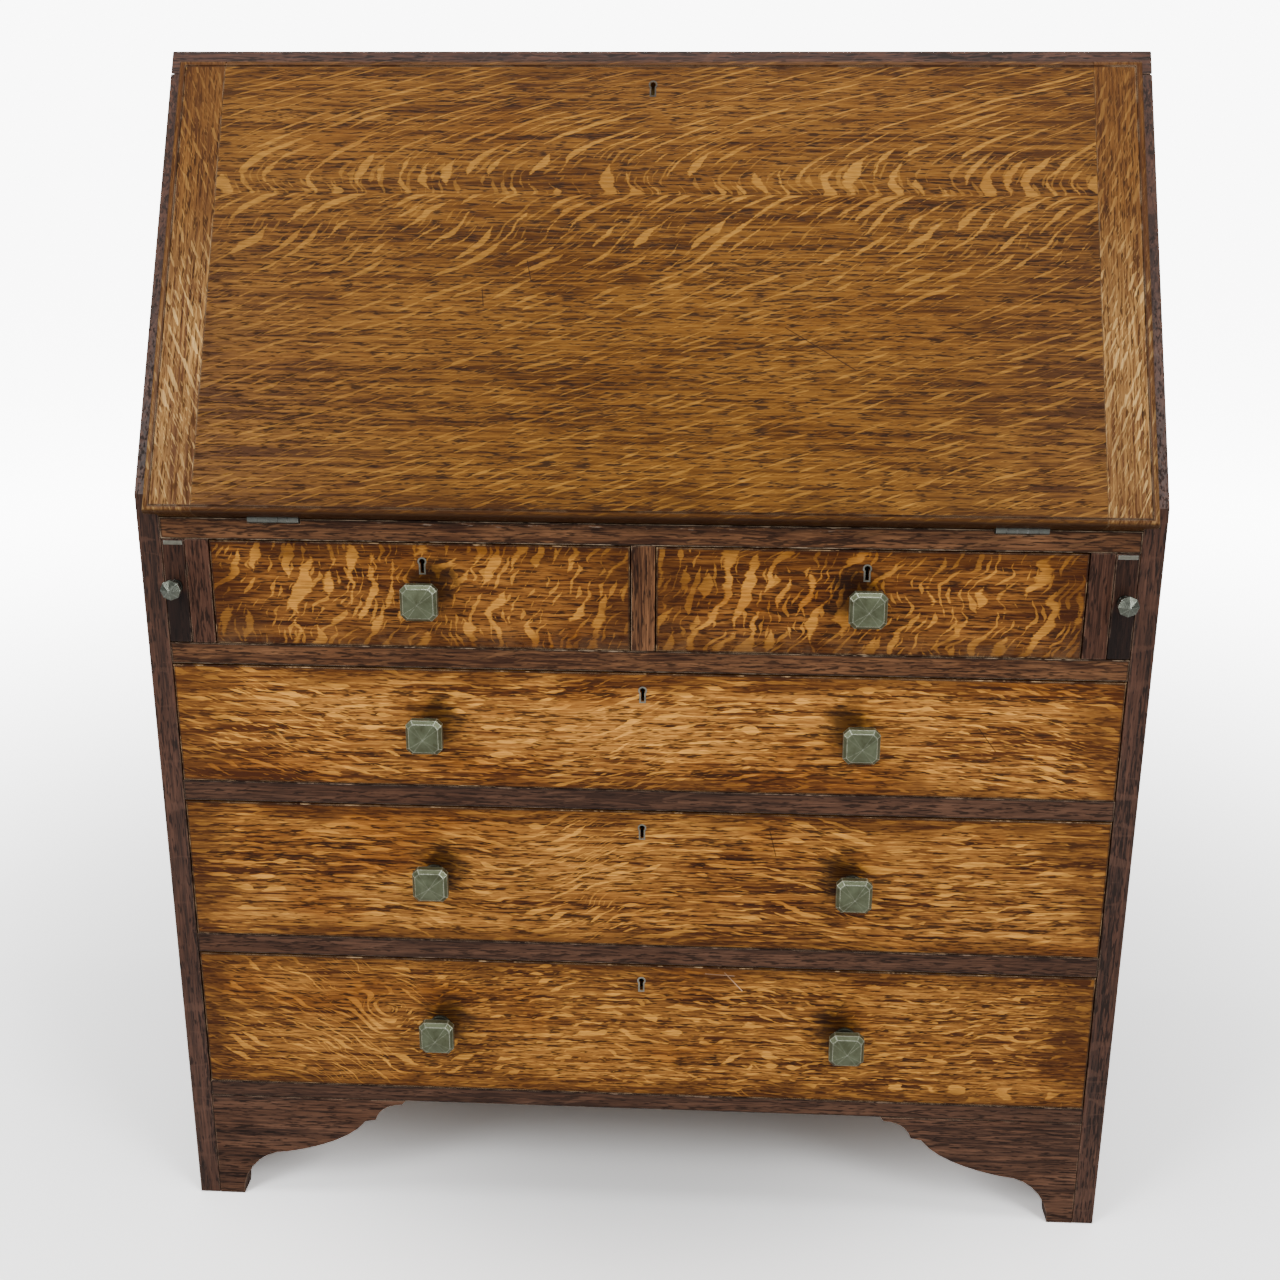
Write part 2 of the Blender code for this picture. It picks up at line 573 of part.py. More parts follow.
def build_gallery(lining):
    """Drawer openings below, pigeonholes above them, shelves on top and an open centre."""
    columns, rows = gallery_lines()
    first_inner, last_inner = 1, len(columns) - 2
    centre = len(columns) // 2 - 1
    flank_walls = {centre - 1, centre + 1}
    mesh_tool = bmesh.new()
    corners = {}

    def corner(column, row):
        key = (column, row)
        if key not in corners:
            corners[key] = mesh_tool.verts.new((columns[column], GALLERY_FACE, rows[row]))
        return corners[key]

    def is_wood(column, row):
        if row in (0, len(rows) - 2) or column in (0, last_inner) or column in flank_walls:
            return True
        if column == centre:
            return row == 4
        if row in (2, 4):
            return True
        return row == 3 and (column - first_inner) % 2 == 1

    for column in range(len(columns) - 1):
        for row in range(len(rows) - 1):
            if is_wood(column, row):
                mesh_tool.faces.new((corner(column, row), corner(column + 1, row),
                                     corner(column + 1, row + 1), corner(column, row + 1)))
    grown = bmesh.ops.extrude_face_region(mesh_tool, geom=mesh_tool.faces[:])["geom"]
    moved = [item for item in grown if isinstance(item, bmesh.types.BMVert)]
    bmesh.ops.translate(mesh_tool, vec=(0.0, GALLERY_DEPTH, 0.0), verts=moved)
    bmesh.ops.dissolve_limit(mesh_tool, angle_limit=radians(1), verts=mesh_tool.verts[:],
                             edges=mesh_tool.edges[:])
    bmesh.ops.triangulate(mesh_tool, faces=mesh_tool.faces[:])
    add_object("pigeonhole_gallery", mesh_tool, lining)


def build_inner_drawers(oak, brass):
    """Two shallow drawers under the pigeonholes, each an open tray with a turned knob."""
    columns, rows = gallery_lines()
    centre = len(columns) // 2
    opening_low, opening_high = columns[centre + 1], columns[-2]
    width = opening_high - opening_low - 2 * DRAWER_SIDE_CLEARANCE
    tall = INNER_DRAWER_HEIGHT - DRAWER_TOP_CLEARANCE - RUNNING_GAP
    wall = INNER_DRAWER_WALL
    length = GALLERY_DEPTH - INNER_DRAWER_REAR_ROOM
    for label, side in SIDES:
        middle = side * (opening_low + opening_high) / 2
        slide = axis_empty(f"{label}_inner_drawer_slide", (middle, GALLERY_FACE, rows[1] + RUNNING_GAP))
        tray = box(f"{label}_inner_drawer", (-width / 2, 0.0, 0.0),
                   (width / 2, length, tall), oak, slide)
        carve(tray, box_mesh((wall - width / 2, 2 * wall, wall),
                             (width / 2 - wall, length - wall, tall + wall)))
        turned_knob(f"{label}_inner_drawer_knob", 0.0, tall / 2, INNER_KNOB_RADIUS,
                    INNER_KNOB_REACH, slide, brass)


def build_desk():
    clear_file()
    golden_oak = finish("golden_oak", (0.30, 0.13, 0.045), 0.38)
    dark_oak = finish("dark_oak", (0.060, 0.028, 0.018), 0.42)
    lining_oak = finish("lining_oak", (0.36, 0.22, 0.11), 0.65)
    bronze = finish("bronze", (0.16, 0.19, 0.12), 0.45, 0.9)
    iron = finish("iron", (0.05, 0.045, 0.04), 0.5, 0.9)
    brass = finish("brass", (0.45, 0.31, 0.12), 0.35, 1.0)
    build_carcase(dark_oak, lining_oak)
    build_fall(golden_oak, iron, brass)
    build_lopers(dark_oak, bronze)
    build_drawers(golden_oak, lining_oak, bronze)
    build_gallery(dark_oak)
    build_inner_drawers(golden_oak, brass)
    bpy.context.view_layer.update()


build_desk()
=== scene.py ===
"""Looks of the oak fall-front desk: worn quarter-sawn oak, bronze knobs, brass and iron fittings.

The plain model is the frame. Pieces whose shape carries the look, such as the moulded fall,
the drawer fronts, the knobs and the backboards, are modelled here in place of the plain ones;
the rest keep their shape, with softened arrises and a finish of their own.
"""

import json
from math import cos, pi, radians, sin

import bmesh
import bpy
from mathutils import Matrix, Vector


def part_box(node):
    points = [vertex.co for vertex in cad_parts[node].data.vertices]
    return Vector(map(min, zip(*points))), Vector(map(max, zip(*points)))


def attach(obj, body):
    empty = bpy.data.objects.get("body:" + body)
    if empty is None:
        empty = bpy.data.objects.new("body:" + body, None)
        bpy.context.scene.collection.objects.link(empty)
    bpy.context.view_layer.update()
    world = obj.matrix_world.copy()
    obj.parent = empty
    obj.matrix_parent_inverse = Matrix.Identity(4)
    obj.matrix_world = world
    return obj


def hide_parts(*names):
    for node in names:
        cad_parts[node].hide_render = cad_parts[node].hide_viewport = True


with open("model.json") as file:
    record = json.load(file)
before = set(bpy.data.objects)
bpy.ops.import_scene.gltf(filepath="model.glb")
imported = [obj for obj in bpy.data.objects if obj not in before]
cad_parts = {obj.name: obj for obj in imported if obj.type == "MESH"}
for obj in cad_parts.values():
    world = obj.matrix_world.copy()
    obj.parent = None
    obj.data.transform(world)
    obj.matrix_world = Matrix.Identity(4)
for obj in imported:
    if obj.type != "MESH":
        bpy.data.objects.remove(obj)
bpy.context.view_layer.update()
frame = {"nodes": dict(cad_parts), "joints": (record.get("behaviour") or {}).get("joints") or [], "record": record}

NODES = frame["nodes"]
BODY_OF = {node: body for body, members in frame["record"]["behaviour"]["bodies"].items()
           for node in members}
JOINTS = {joint["name"]: joint for joint in frame["joints"]}
PIVOT = Vector(JOINTS["fall_hinge"]["pos_m"])
SLOPE = radians(180 - JOINTS["fall_hinge"]["range_deg"][1])
FALL = Matrix.Translation(PIVOT) @ Matrix.Rotation(SLOPE, 4, "X")   # x along, y up the slope, z out
FRONT = PIVOT.y
SIDES = (("left", -1), ("right", 1))
DRAWERS = ["bottom_drawer", "middle_drawer", "top_drawer", "left_small_drawer", "right_small_drawer"]
CLOSE = 0.0002             # points nearer to a plane than this lie on it


# ---------------------------------------------------------------- stage

CAMERA_PLACE = (0.0543, FRONT - 1.1937, 0.9967)
CAMERA_PAN = radians(2.733)
CAMERA_DIP = radians(16.036)
CAMERA_ROLL = radians(0.2)
CAMERA_LENS = 40.14        # for a film 36 wide
CAMERA_SHIFT = -0.0486     # how far the frame is moved down

BACKGROUND = 9.0           # how bright the pale room looks straight on
FILL = 0.50                # how much it lights the desk
NEAR_FLOOR = 2.45          # the floor's tone to the eye, close to the desk
FLOOR_FADE = (0.55, 3.6)   # distances between which it turns into the background's tone
UNDER_DESK_SHADOW = 0.50          # how much of the near tone the shadow painted under the desk leaves
DESK_SHADOW_FADE = (0.12, 0.48)  # distances over which that painted shadow ends
ROOM_FLOOR = 0.70          # the tone that the floor's bounced light has


def set_camera():
    """A standing person's view, a little above the desk and to the right of its middle."""
    lens = bpy.data.cameras.new("camera")
    lens.lens = CAMERA_LENS
    lens.sensor_width = 36.0
    lens.shift_y = CAMERA_SHIFT
    camera = bpy.data.objects.new("camera", lens)
    bpy.context.scene.collection.objects.link(camera)
    camera.location = CAMERA_PLACE
    turn = (Matrix.Rotation(CAMERA_PAN, 4, "Z") @ Matrix.Rotation(pi / 2 - CAMERA_DIP, 4, "X")
            @ Matrix.Rotation(CAMERA_ROLL, 4, "Z"))
    camera.rotation_euler = turn.to_euler()
    bpy.context.scene.camera = camera


def softbox(name, place, target, size, power):
    """A rectangular lamp that faces its target."""
    lamp = bpy.data.lights.new(name, "AREA")
    lamp.shape = "RECTANGLE"
    lamp.size, lamp.size_y = size
    lamp.energy = power
    light = bpy.data.objects.new(name, lamp)
    bpy.context.scene.collection.objects.link(light)
    light.location = place
    light.rotation_euler = (Vector(target) - Vector(place)).to_track_quat("-Z", "Y").to_euler()


def set_world():
    """A plain white room, brighter to the eye than it is as a lamp."""
    world = bpy.data.worlds.new("studio")
    world.use_nodes = True
    bench = Bench(world.node_tree)
    background = world.node_tree.nodes["Background"]
    seen = bench.add("ShaderNodeLightPath").outputs["Is Camera Ray"]
    bench.feed(background.inputs["Strength"], bench.range(seen, 0.0, 1.0, FILL, BACKGROUND))
    background.inputs["Color"].default_value = (1.0, 1.0, 1.0, 1.0)
    bpy.context.scene.world = world


def set_floor():
    """Pale floor that shades into the background, with a shadow painted under the desk, as in a white studio."""
    bpy.ops.mesh.primitive_plane_add(size=80.0, location=(0.0, 0.0, -0.0004))
    floor = bpy.context.object
    floor.name = "studio_floor"
    paint = bpy.data.materials.new("studio_floor")
    paint.use_nodes = True
    tree = paint.node_tree
    tree.nodes.remove(tree.nodes["Principled BSDF"])
    bench = Bench(tree)
    seen = bench.add("ShaderNodeLightPath").outputs["Is Camera Ray"]
    place = bench.add("ShaderNodeTexCoord").outputs["Object"]
    far = bench.add("ShaderNodeVectorMath", {0: place}, operation="LENGTH").outputs["Value"]
    eye_tone = bench.range(far, *FLOOR_FADE, NEAR_FLOOR, BACKGROUND / FILL, smooth=True)
    # Painted shadow: the floor's tone is darkened near the desk's middle.
    under = bench.range(far, *DESK_SHADOW_FADE, UNDER_DESK_SHADOW, 1.0, smooth=True)
    eye_tone = bench.times(eye_tone, under)
    tone = bench.times(seen, bench.less(eye_tone, ROOM_FLOOR), ROOM_FLOOR)
    diffuse = bench.add("ShaderNodeBsdfDiffuse", {"Color": bench.vector(tone, tone, tone)})
    bench.feed(tree.nodes["Material Output"].inputs["Surface"], diffuse.outputs[0])
    floor.data.materials.append(paint)


def set_stage():
    """Camera, room, floor and three soft lamps."""
    set_camera()
    set_world()
    set_floor()
    for label, side in SIDES:
        softbox(label + "_softbox", place=(1.7 * side, -1.9, 2.1), target=(0.0, -0.1, 0.6),
                size=(0.9, 1.2), power=34.0)
    softbox("top_softbox", place=(0.0, -0.2, 3.0), target=(0.0, 0.0, 0.5), size=(2.2, 1.4), power=40.0)


# ---------------------------------------------------------------- node bench

def rgba(color):
    """A colour with full cover."""
    return (*color, 1.0)


class Bench:
    """Lays shader nodes in one tree and links them as they are made."""

    def __init__(self, tree):
        self.tree = tree
        self.laid = 0

    def add(self, kind, inputs=None, **settings):
        node = self.tree.nodes.new(kind)
        node.location = (200 * (self.laid // 6) - 2400, 180 * (self.laid % 6) - 500)
        self.laid += 1
        for name, value in settings.items():
            setattr(node, name, value)
        for key, value in (inputs or {}).items():
            self.feed(node.inputs[key], value)
        return node

    def feed(self, socket, value):
        if isinstance(value, bpy.types.NodeSocket):
            self.tree.links.new(value, socket)
        else:
            socket.default_value = value

    def math(self, operation, *values, clamp=False):
        node = self.add("ShaderNodeMath", operation=operation, use_clamp=clamp)
        for socket, value in zip(node.inputs, values):
            self.feed(socket, value)
        return node.outputs[0]

    def times(self, value, by, plus=None):
        """One value times another, with a third added if there is one."""
        if plus is None:
            return self.math("MULTIPLY", value, by)
        return self.math("MULTIPLY_ADD", value, by, plus)

    def plus(self, value, other):
        return self.math("ADD", value, other)

    def less(self, value, other):
        return self.math("SUBTRACT", value, other)

    def over(self, value, other):
        return self.math("DIVIDE", value, other)

    def off(self, value):
        """How far a value is off nought, to either side."""
        return self.math("ABSOLUTE", value)

    def stir(self, value, noise, amount):
        """A value pushed up and down by a noise."""
        return self.times(self.less(noise, 0.5), amount, value)

    def vector(self, x, y, z):
        return self.add("ShaderNodeCombineXYZ", {"X": x, "Y": y, "Z": z}).outputs[0]

    def split(self, vector):
        return self.add("ShaderNodeSeparateXYZ", {0: vector}).outputs

    def stretch(self, vector, scale, shift=(0.0, 0.0, 0.0)):
        scaled = self.add("ShaderNodeVectorMath", {0: vector, 1: scale}, operation="MULTIPLY")
        return self.add("ShaderNodeVectorMath", {0: scaled.outputs[0], 1: shift}).outputs[0]

    def noise(self, vector, detail=2.0, roughness=0.5, distortion=0.0, scale=1.0):
        inputs = {"Vector": vector, "Scale": scale, "Detail": detail, "Roughness": roughness,
                  "Distortion": distortion}
        return self.add("ShaderNodeTexNoise", inputs).outputs["Fac"]

    def range(self, value, low, high, to_low=0.0, to_high=1.0, smooth=False):
        inputs = {"Value": value, "From Min": low, "From Max": high, "To Min": to_low,
                  "To Max": to_high}
        kind = "SMOOTHSTEP" if smooth else "LINEAR"
        return self.add("ShaderNodeMapRange", inputs, interpolation_type=kind).outputs[0]

    def blend(self, share, first, second, way="MIX"):
        node = self.add("ShaderNodeMix", data_type="RGBA", blend_type=way)
        for index, value in ((0, share), (6, first), (7, second)):
            self.feed(node.inputs[index], value)
        return node.outputs[2]

    def coat(self, color, tone, mask, share=None, way="MIX"):
        """A tone laid over a colour as thick as the mask says, or a share of that."""
        if share is not None:
            mask = self.times(mask, share)
        return self.blend(mask, color, rgba(tone), way)

    def curve(self, value, points):
        """A curve from 0..1 to 0..1 through the given points."""
        node = self.add("ShaderNodeFloatCurve", {"Value": value})
        line = node.mapping.curves[0]
        while len(line.points) < len(points):
            line.points.new(0.5, 0.5)
        for point, place in zip(line.points, points):
            point.location = place
            point.handle_type = "AUTO_CLAMPED"
        node.mapping.update()
        return node.outputs[0]

    def place(self, group, **inputs):
        """Lays a shared effect, its inputs named in small letters, and returns its outputs."""
        node = self.add("ShaderNodeGroup", node_tree=group)
        for key, value in inputs.items():
            self.feed(node.inputs[key.replace("_", " ").title()], value)
        return node.outputs


def node_group(name, inputs, outputs):
    """An empty group with its sockets: returns its tree, a bench, what comes in and what goes out."""
    tree = bpy.data.node_groups.new(name, "ShaderNodeTree")
    for label, default in inputs.items():
        kind = "NodeSocketVector" if default is None else "NodeSocketFloat"
        socket = tree.interface.new_socket(label, in_out="INPUT", socket_type=kind)
        if default is not None:
            socket.default_value = default
    for label in outputs:
        tree.interface.new_socket(label, in_out="OUTPUT", socket_type="NodeSocketFloat")
    bench = Bench(tree)
    given = bench.add("NodeGroupInput").outputs
    result = bench.add("NodeGroupOutput").inputs
    return tree, bench, given, result


# ---------------------------------------------------------------- shared effects

def make_ray_fleck():
    """Silky flecks of the rays, seen on oak sawn on the quarter.

    Along and Across place a point in the run of the rays. A row of flecks stands in every
    Spacing, broken into spindles about a Length long and nibbled where the fibres cross it.
    """
    inputs = {"Grain": None, "Along": 0.0, "Across": 0.0, "Spacing": 0.02, "Length": 0.04,
              "Sway": 0.01, "Cut": 0.50, "Slim": 0.35, "Soft": 0.05, "Seed": 0.0}
    tree, bench, given, result = node_group("ray_fleck", inputs, ("Fleck",))
    seed = given["Seed"]
    bend = bench.noise(bench.stretch(given["Grain"], (8.0, 17.0, 9.0), bench.vector(seed, 0.0, seed)), 3.0)
    bend = bench.times(bench.less(bend, 0.5), given["Sway"])
    run = bench.over(bench.plus(given["Along"], bend), given["Spacing"])
    row = bench.math("FLOOR", run)
    across_row = bench.times(bench.less(run, row), 2.0, -1.0)
    off_middle = bench.off(across_row)
    rise = bench.times(row, 7.31, bench.over(given["Across"], given["Length"]))
    depth = bench.times(bench.split(given["Grain"])[2], 18.0, seed)
    wobble = bench.times(run, 0.22)
    spindle = bench.noise(bench.vector(bench.times(row, 3.7, wobble), rise, depth), 1.5)
    nibble = bench.noise(bench.stretch(given["Grain"], (34.0, 560.0, 560.0)), 3.0, 0.65)
    value = bench.stir(spindle, nibble, 0.24)
    value = bench.less(value, bench.times(off_middle, given["Slim"]))
    top = bench.plus(given["Cut"], given["Soft"])
    bench.feed(result["Fleck"], bench.range(value, given["Cut"], top, smooth=True))
    return tree


def make_oak_grain():
    """Rings, streaks, fibres and open pores of oak, running along the grain's own x."""
    tree, bench, given, result = node_group("oak_grain", {"Grain": None, "Seed": 0.0},
                                            ("Tone", "Fibre", "Pore", "Stain"))
    grain, seed = given["Grain"], given["Seed"]
    shift = bench.vector(seed, seed, seed)
    rings = bench.noise(bench.stretch(grain, (4.5, 130.0, 130.0), shift), 6.0, 0.62, 0.5)
    streaks = bench.noise(bench.stretch(grain, (22.0, 430.0, 430.0), shift), 3.0, 0.62, 0.3)
    clouds = bench.noise(bench.stretch(grain, (4.0, 13.0, 13.0), shift), 2.0)
    tone = bench.stir(rings, clouds, 0.40)
    tone = bench.stir(tone, streaks, 1.10)
    bench.feed(result["Tone"], bench.range(tone, 0.33, 0.69))
    fibre = bench.noise(bench.stretch(grain, (34.0, 640.0, 640.0), shift), 3.0, 0.7)
    bench.feed(result["Fibre"], bench.range(fibre, 0.36, 0.64))
    dashes = bench.noise(bench.stretch(grain, (66.0, 520.0, 520.0), shift), 2.0, 0.6)
    rows = bench.noise(bench.stretch(grain, (5.0, 190.0, 190.0), shift), 2.0)
    value = bench.stir(dashes, rows, 0.40)
    bench.feed(result["Pore"], bench.range(value, 0.52, 0.63, smooth=True))
    stain = bench.noise(bench.stretch(grain, (6.0, 17.0, 17.0), bench.vector(0.0, seed, seed)), 3.0, 0.6)
    bench.feed(result["Stain"], bench.range(stain, 0.47, 0.68, smooth=True))
    return tree


def make_edge_grime_and_gap_shade():
    """Dirt gathered toward a board's edges, a dark line painted along them as the shade of the gap round the
    board, and the pale line where its arris is rubbed bare.
    """
    inputs = {"Grain": None, "Half Length": 0.2, "Half Width": 0.05, "Reach": 0.03, "Seed": 0.0}
    tree, bench, given, result = node_group("edge_grime", inputs, ("Grime", "Seam", "Arris"))
    x, y, depth = bench.split(given["Grain"])
    to_end = bench.less(given["Half Length"], bench.off(x))
    to_side = bench.less(given["Half Width"], bench.off(y))
    seed = given["Seed"]
    shift = bench.vector(seed, seed, seed)
    cloud = bench.noise(bench.stretch(given["Grain"], (16.0, 30.0, 30.0), shift), 3.0)
    end = bench.over(to_end, bench.times(given["Reach"], 1.8))
    side = bench.over(to_side, bench.times(given["Reach"], 0.62))
    near = bench.math("MINIMUM", end, side)
    ragged = bench.stir(near, cloud, -2.4)
    bench.feed(result["Grime"], bench.range(ragged, 0.0, 1.0, 1.0, 0.0, smooth=True))
    rub = bench.noise(bench.stretch(given["Grain"], (45.0, 45.0, 45.0), shift), 3.0, 0.7)
    width = bench.range(rub, 0.46, 0.72, -0.0002, 0.0011)
    close = bench.math("MAXIMUM", bench.math("MINIMUM", to_end, to_side), bench.off(depth))
    # Painted shade of the gap round the board: dark close to its edges.
    bench.feed(result["Seam"], bench.range(close, 0.0007, 0.0024, 1.0, 0.0, smooth=True))
    bench.feed(result["Arris"], bench.math("LESS_THAN", close, width))
    return tree


def make_corner_wear():
    """How far a point lies on a rounded corner, broken up as rubbing leaves it."""
    inputs = {"Radius": 0.0016, "Amount": 1.0, "Bluntest": 0.82, "Even": 0.0, "Seed": 0.0}
    tree, bench, given, result = node_group("corner_wear", inputs, ("Wear",))
    rounded = bench.add("ShaderNodeBevel", {"Radius": given["Radius"]}, samples=4).outputs[0]
    true = bench.add("ShaderNodeNewGeometry").outputs["True Normal"]
    facing = bench.add("ShaderNodeVectorMath", {0: rounded, 1: true}, operation="DOT_PRODUCT")
    blunt = bench.less(1.0, given["Bluntest"])
    flat = bench.less(1.0, bench.times(blunt, 0.06))
    corner = bench.range(facing.outputs["Value"], flat, given["Bluntest"])
    place = bench.add("ShaderNodeTexCoord").outputs["Object"]
    seed = given["Seed"]
    patches = bench.noise(bench.stretch(place, (38.0, 38.0, 38.0), bench.vector(seed, 0.0, 0.0)), 4.0, 0.7)
    broken = bench.range(bench.plus(patches, given["Even"]), 0.42, 0.58, smooth=True)
    worn = bench.times(corner, broken)
    bench.feed(result["Wear"], bench.math("MULTIPLY", worn, given["Amount"], clamp=True))
    return tree


def make_hand_marks():
    """Round a knob: a dark stain to its inner side, and a rubbed warm patch above its outer side.

    Knob Along is the knob's place on the front, whose middle it stands level with.
    """
    inputs = {"Grain": None, "Knob Along": 0.0, "Inward": 1.0}
    tree, bench, given, result = node_group("hand_marks", inputs, ("Stain", "Rub"))
    x, y, _ = bench.split(given["Grain"])
    from_knob = bench.less(x, given["Knob Along"])
    cloud = bench.noise(bench.stretch(given["Grain"], (42.0, 70.0, 42.0)), 3.0, 0.6)
    ragged = bench.less(cloud, 0.5)

    def patch(shift_along, shift_across, reach_along, reach_across):
        along = bench.times(given["Inward"], shift_along)
        u = bench.over(bench.less(from_knob, along), reach_along)
        v = bench.over(bench.less(y, shift_across), reach_across)
        far = bench.math("SQRT", bench.plus(bench.times(u, u), bench.times(v, v)))
        return bench.range(bench.times(ragged, 1.6, far), 0.35, 1.0, 1.0, 0.0, smooth=True)

    bench.feed(result["Stain"], patch(0.008, 0.009, 0.032, 0.031))
    bench.feed(result["Rub"], patch(-0.014, 0.022, 0.032, 0.018))
    return tree


def make_mottle():
    """Blotches and fine speckle for tarnish, verdigris and dust."""
    tree, bench, given, result = node_group("mottle", {"Size": 0.01, "Seed": 0.0}, ("Blotch", "Speckle"))
    place = bench.add("ShaderNodeTexCoord").outputs["Object"]
    scale = bench.over(1.0, given["Size"])
    seed = given["Seed"]
    moved = bench.stretch(bench.stretch(place, (1.0, 1.0, 1.0), bench.vector(seed, 0.0, seed)),
                          bench.vector(scale, scale, scale))
    bench.feed(result["Blotch"], bench.range(bench.noise(moved, 4.0, 0.6, 0.3), 0.32, 0.68))
    bench.feed(result["Speckle"], bench.range(bench.noise(moved, 2.0, 0.7, 0.0, 7.0), 0.3, 0.7))
    return tree


RAY_FLECK = make_ray_fleck()
OAK_GRAIN = make_oak_grain()
EDGE_GRIME_AND_GAP_SHADE = make_edge_grime_and_gap_shade()
CORNER_WEAR = make_corner_wear()
HAND_MARKS = make_hand_marks()
MOTTLE = make_mottle()


# ---------------------------------------------------------------- finishes

FRONT_REACH = 0.425        # half the length of a large drawer's front, nearly
RAY_HILL = 0.10            # height of the hills that rows of flecks can follow

WATER_STAIN = (0.52, 0.38, 0.27)
HAND_WARM = (0.26, 0.080, 0.012)
HAND_BLACK = (0.016, 0.006, 0.003)
# Painted shade for a knob's collar and neck
COLLAR_SHADE_BLACK = (0.012, 0.010, 0.007)
# The fall's quirk: dirt with painted shade; its lip outside the quirk: painted shade
QUIRK_DIRT_AND_SHADE = (0.030, 0.0095, 0.003)
LIP_SHADE = (0.070, 0.024, 0.006)
FOOT_DARKENING = (0.024, 0.0105, 0.006)
PIT_BLACK = (0.018, 0.007, 0.003)
CLEAT_HEAD_DARKENING = (0.42, 0.33, 0.22)
CHIP_DARK = (0.016, 0.009, 0.006)
CHIP_PALE = (0.46, 0.36, 0.27)
LOPER_BLACK = (0.012, 0.0085, 0.0080)
SCRATCH_TONES = {"dark": (0.026, 0.0105, 0.005), "pale": (0.80, 0.50, 0.30)}


def axes(x, y, z):
    """Turn whose own x, y and z lie along the given directions."""
    return Matrix((x, y, z)).transposed().to_euler()


ALONG, BACK, UP = Vector((1, 0, 0)), Vector((0, 1, 0)), Vector((0, 0, 1))
UPHILL = Vector((0, cos(SLOPE), sin(SLOPE)))
OUTHILL = Vector((0, -sin(SLOPE), cos(SLOPE)))
LEVEL_FACE = axes(ALONG, UP, -BACK)            # grain along, seen from the front
UPRIGHT_EDGE = axes(UP, BACK, -ALONG)          # grain upright, seen from the side
UPRIGHT_FACE = axes(UP, ALONG, BACK)           # grain upright, seen from the back
LYING = axes(ALONG, BACK, UP)                  # grain along, seen from above
INWARD = axes(BACK, UP, ALONG)                 # grain running front to back
HILL = axes(ALONG, UPHILL, OUTHILL)            # the fall's middle board
HILL_END = axes(UPHILL, ALONG, -OUTHILL)       # the fall's cleats

# Stains of the oak: golden for the large drawers, honey for the fall's board, straw for its cleats,
# russet for the small drawers, dark and warm for the rails, shady for the case, and the inside's two
GOLDEN = {"deep": (0.078, 0.0220, 0.0048), "body": (0.330, 0.126, 0.0230), "pale": (0.60, 0.260, 0.048),
          "fleck": (0.90, 0.400, 0.062), "pore": (0.024, 0.0088, 0.004), "bare": (0.66, 0.43, 0.22)}
HONEY = {"deep": (0.066, 0.0215, 0.0034), "body": (0.180, 0.0680, 0.0092), "pale": (0.290, 0.126, 0.020),
         "fleck": (0.55, 0.255, 0.040), "pore": (0.020, 0.0076, 0.003), "bare": (0.62, 0.42, 0.23)}
STRAW = {"deep": (0.125, 0.0440, 0.0095), "body": (0.430, 0.205, 0.0500), "pale": (0.66, 0.37, 0.110),
         "fleck": (0.95, 0.60, 0.210), "pore": (0.038, 0.0150, 0.006), "bare": (0.78, 0.60, 0.38)}
RUSSET = {"deep": (0.070, 0.0180, 0.0042), "body": (0.250, 0.0860, 0.0150), "pale": (0.46, 0.185, 0.034),
          "fleck": (0.90, 0.385, 0.055), "pore": (0.024, 0.0080, 0.004), "bare": (0.66, 0.43, 0.22)}
DARK = {"deep": (0.044, 0.0215, 0.0145), "body": (0.118, 0.0540, 0.0310), "pale": (0.185, 0.090, 0.052),
        "fleck": (0.185, 0.092, 0.054), "pore": (0.018, 0.0100, 0.008), "bare": (0.36, 0.24, 0.16)}
WARM = {"deep": (0.050, 0.0200, 0.0105), "body": (0.182, 0.0790, 0.0350), "pale": (0.320, 0.1450, 0.062),
        "fleck": (0.310, 0.1450, 0.060), "pore": (0.018, 0.0085, 0.005), "bare": (0.48, 0.35, 0.23)}
SHADY = {"deep": (0.036, 0.0165, 0.0110), "body": (0.084, 0.0350, 0.0215), "pale": (0.130, 0.058, 0.036),
         "fleck": (0.130, 0.060, 0.038), "pore": (0.015, 0.0080, 0.006), "bare": (0.36, 0.24, 0.16)}
INSIDE = {"deep": (0.085, 0.0360, 0.0120), "body": (0.200, 0.0980, 0.0360), "pale": (0.300, 0.160, 0.066),
          "fleck": (0.400, 0.230, 0.105), "pore": (0.040, 0.0180, 0.008), "bare": (0.50, 0.34, 0.19)}
LINING = {"deep": (0.150, 0.085, 0.040), "body": (0.260, 0.160, 0.082), "pale": (0.36, 0.240, 0.135),
          "fleck": (0.42, 0.290, 0.170), "pore": (0.070, 0.038, 0.018), "bare": (0.50, 0.38, 0.25)}


def new_material(name):
    """A material with its bench and its Principled shader."""
    material = bpy.data.materials.new(name)
    material.use_nodes = True
    return material, Bench(material.node_tree), material.node_tree.nodes["Principled BSDF"]


def grain_place(bench, centre, turn):
    """Object coordinates read in a board's own frame: x along the grain, from its middle."""
    place = bench.add("ShaderNodeTexCoord").outputs["Object"]
    inputs = {"Vector": place, "Location": tuple(centre), "Rotation": tuple(turn)}
    return bench.add("ShaderNodeMapping", inputs, vector_type="TEXTURE").outputs[0]


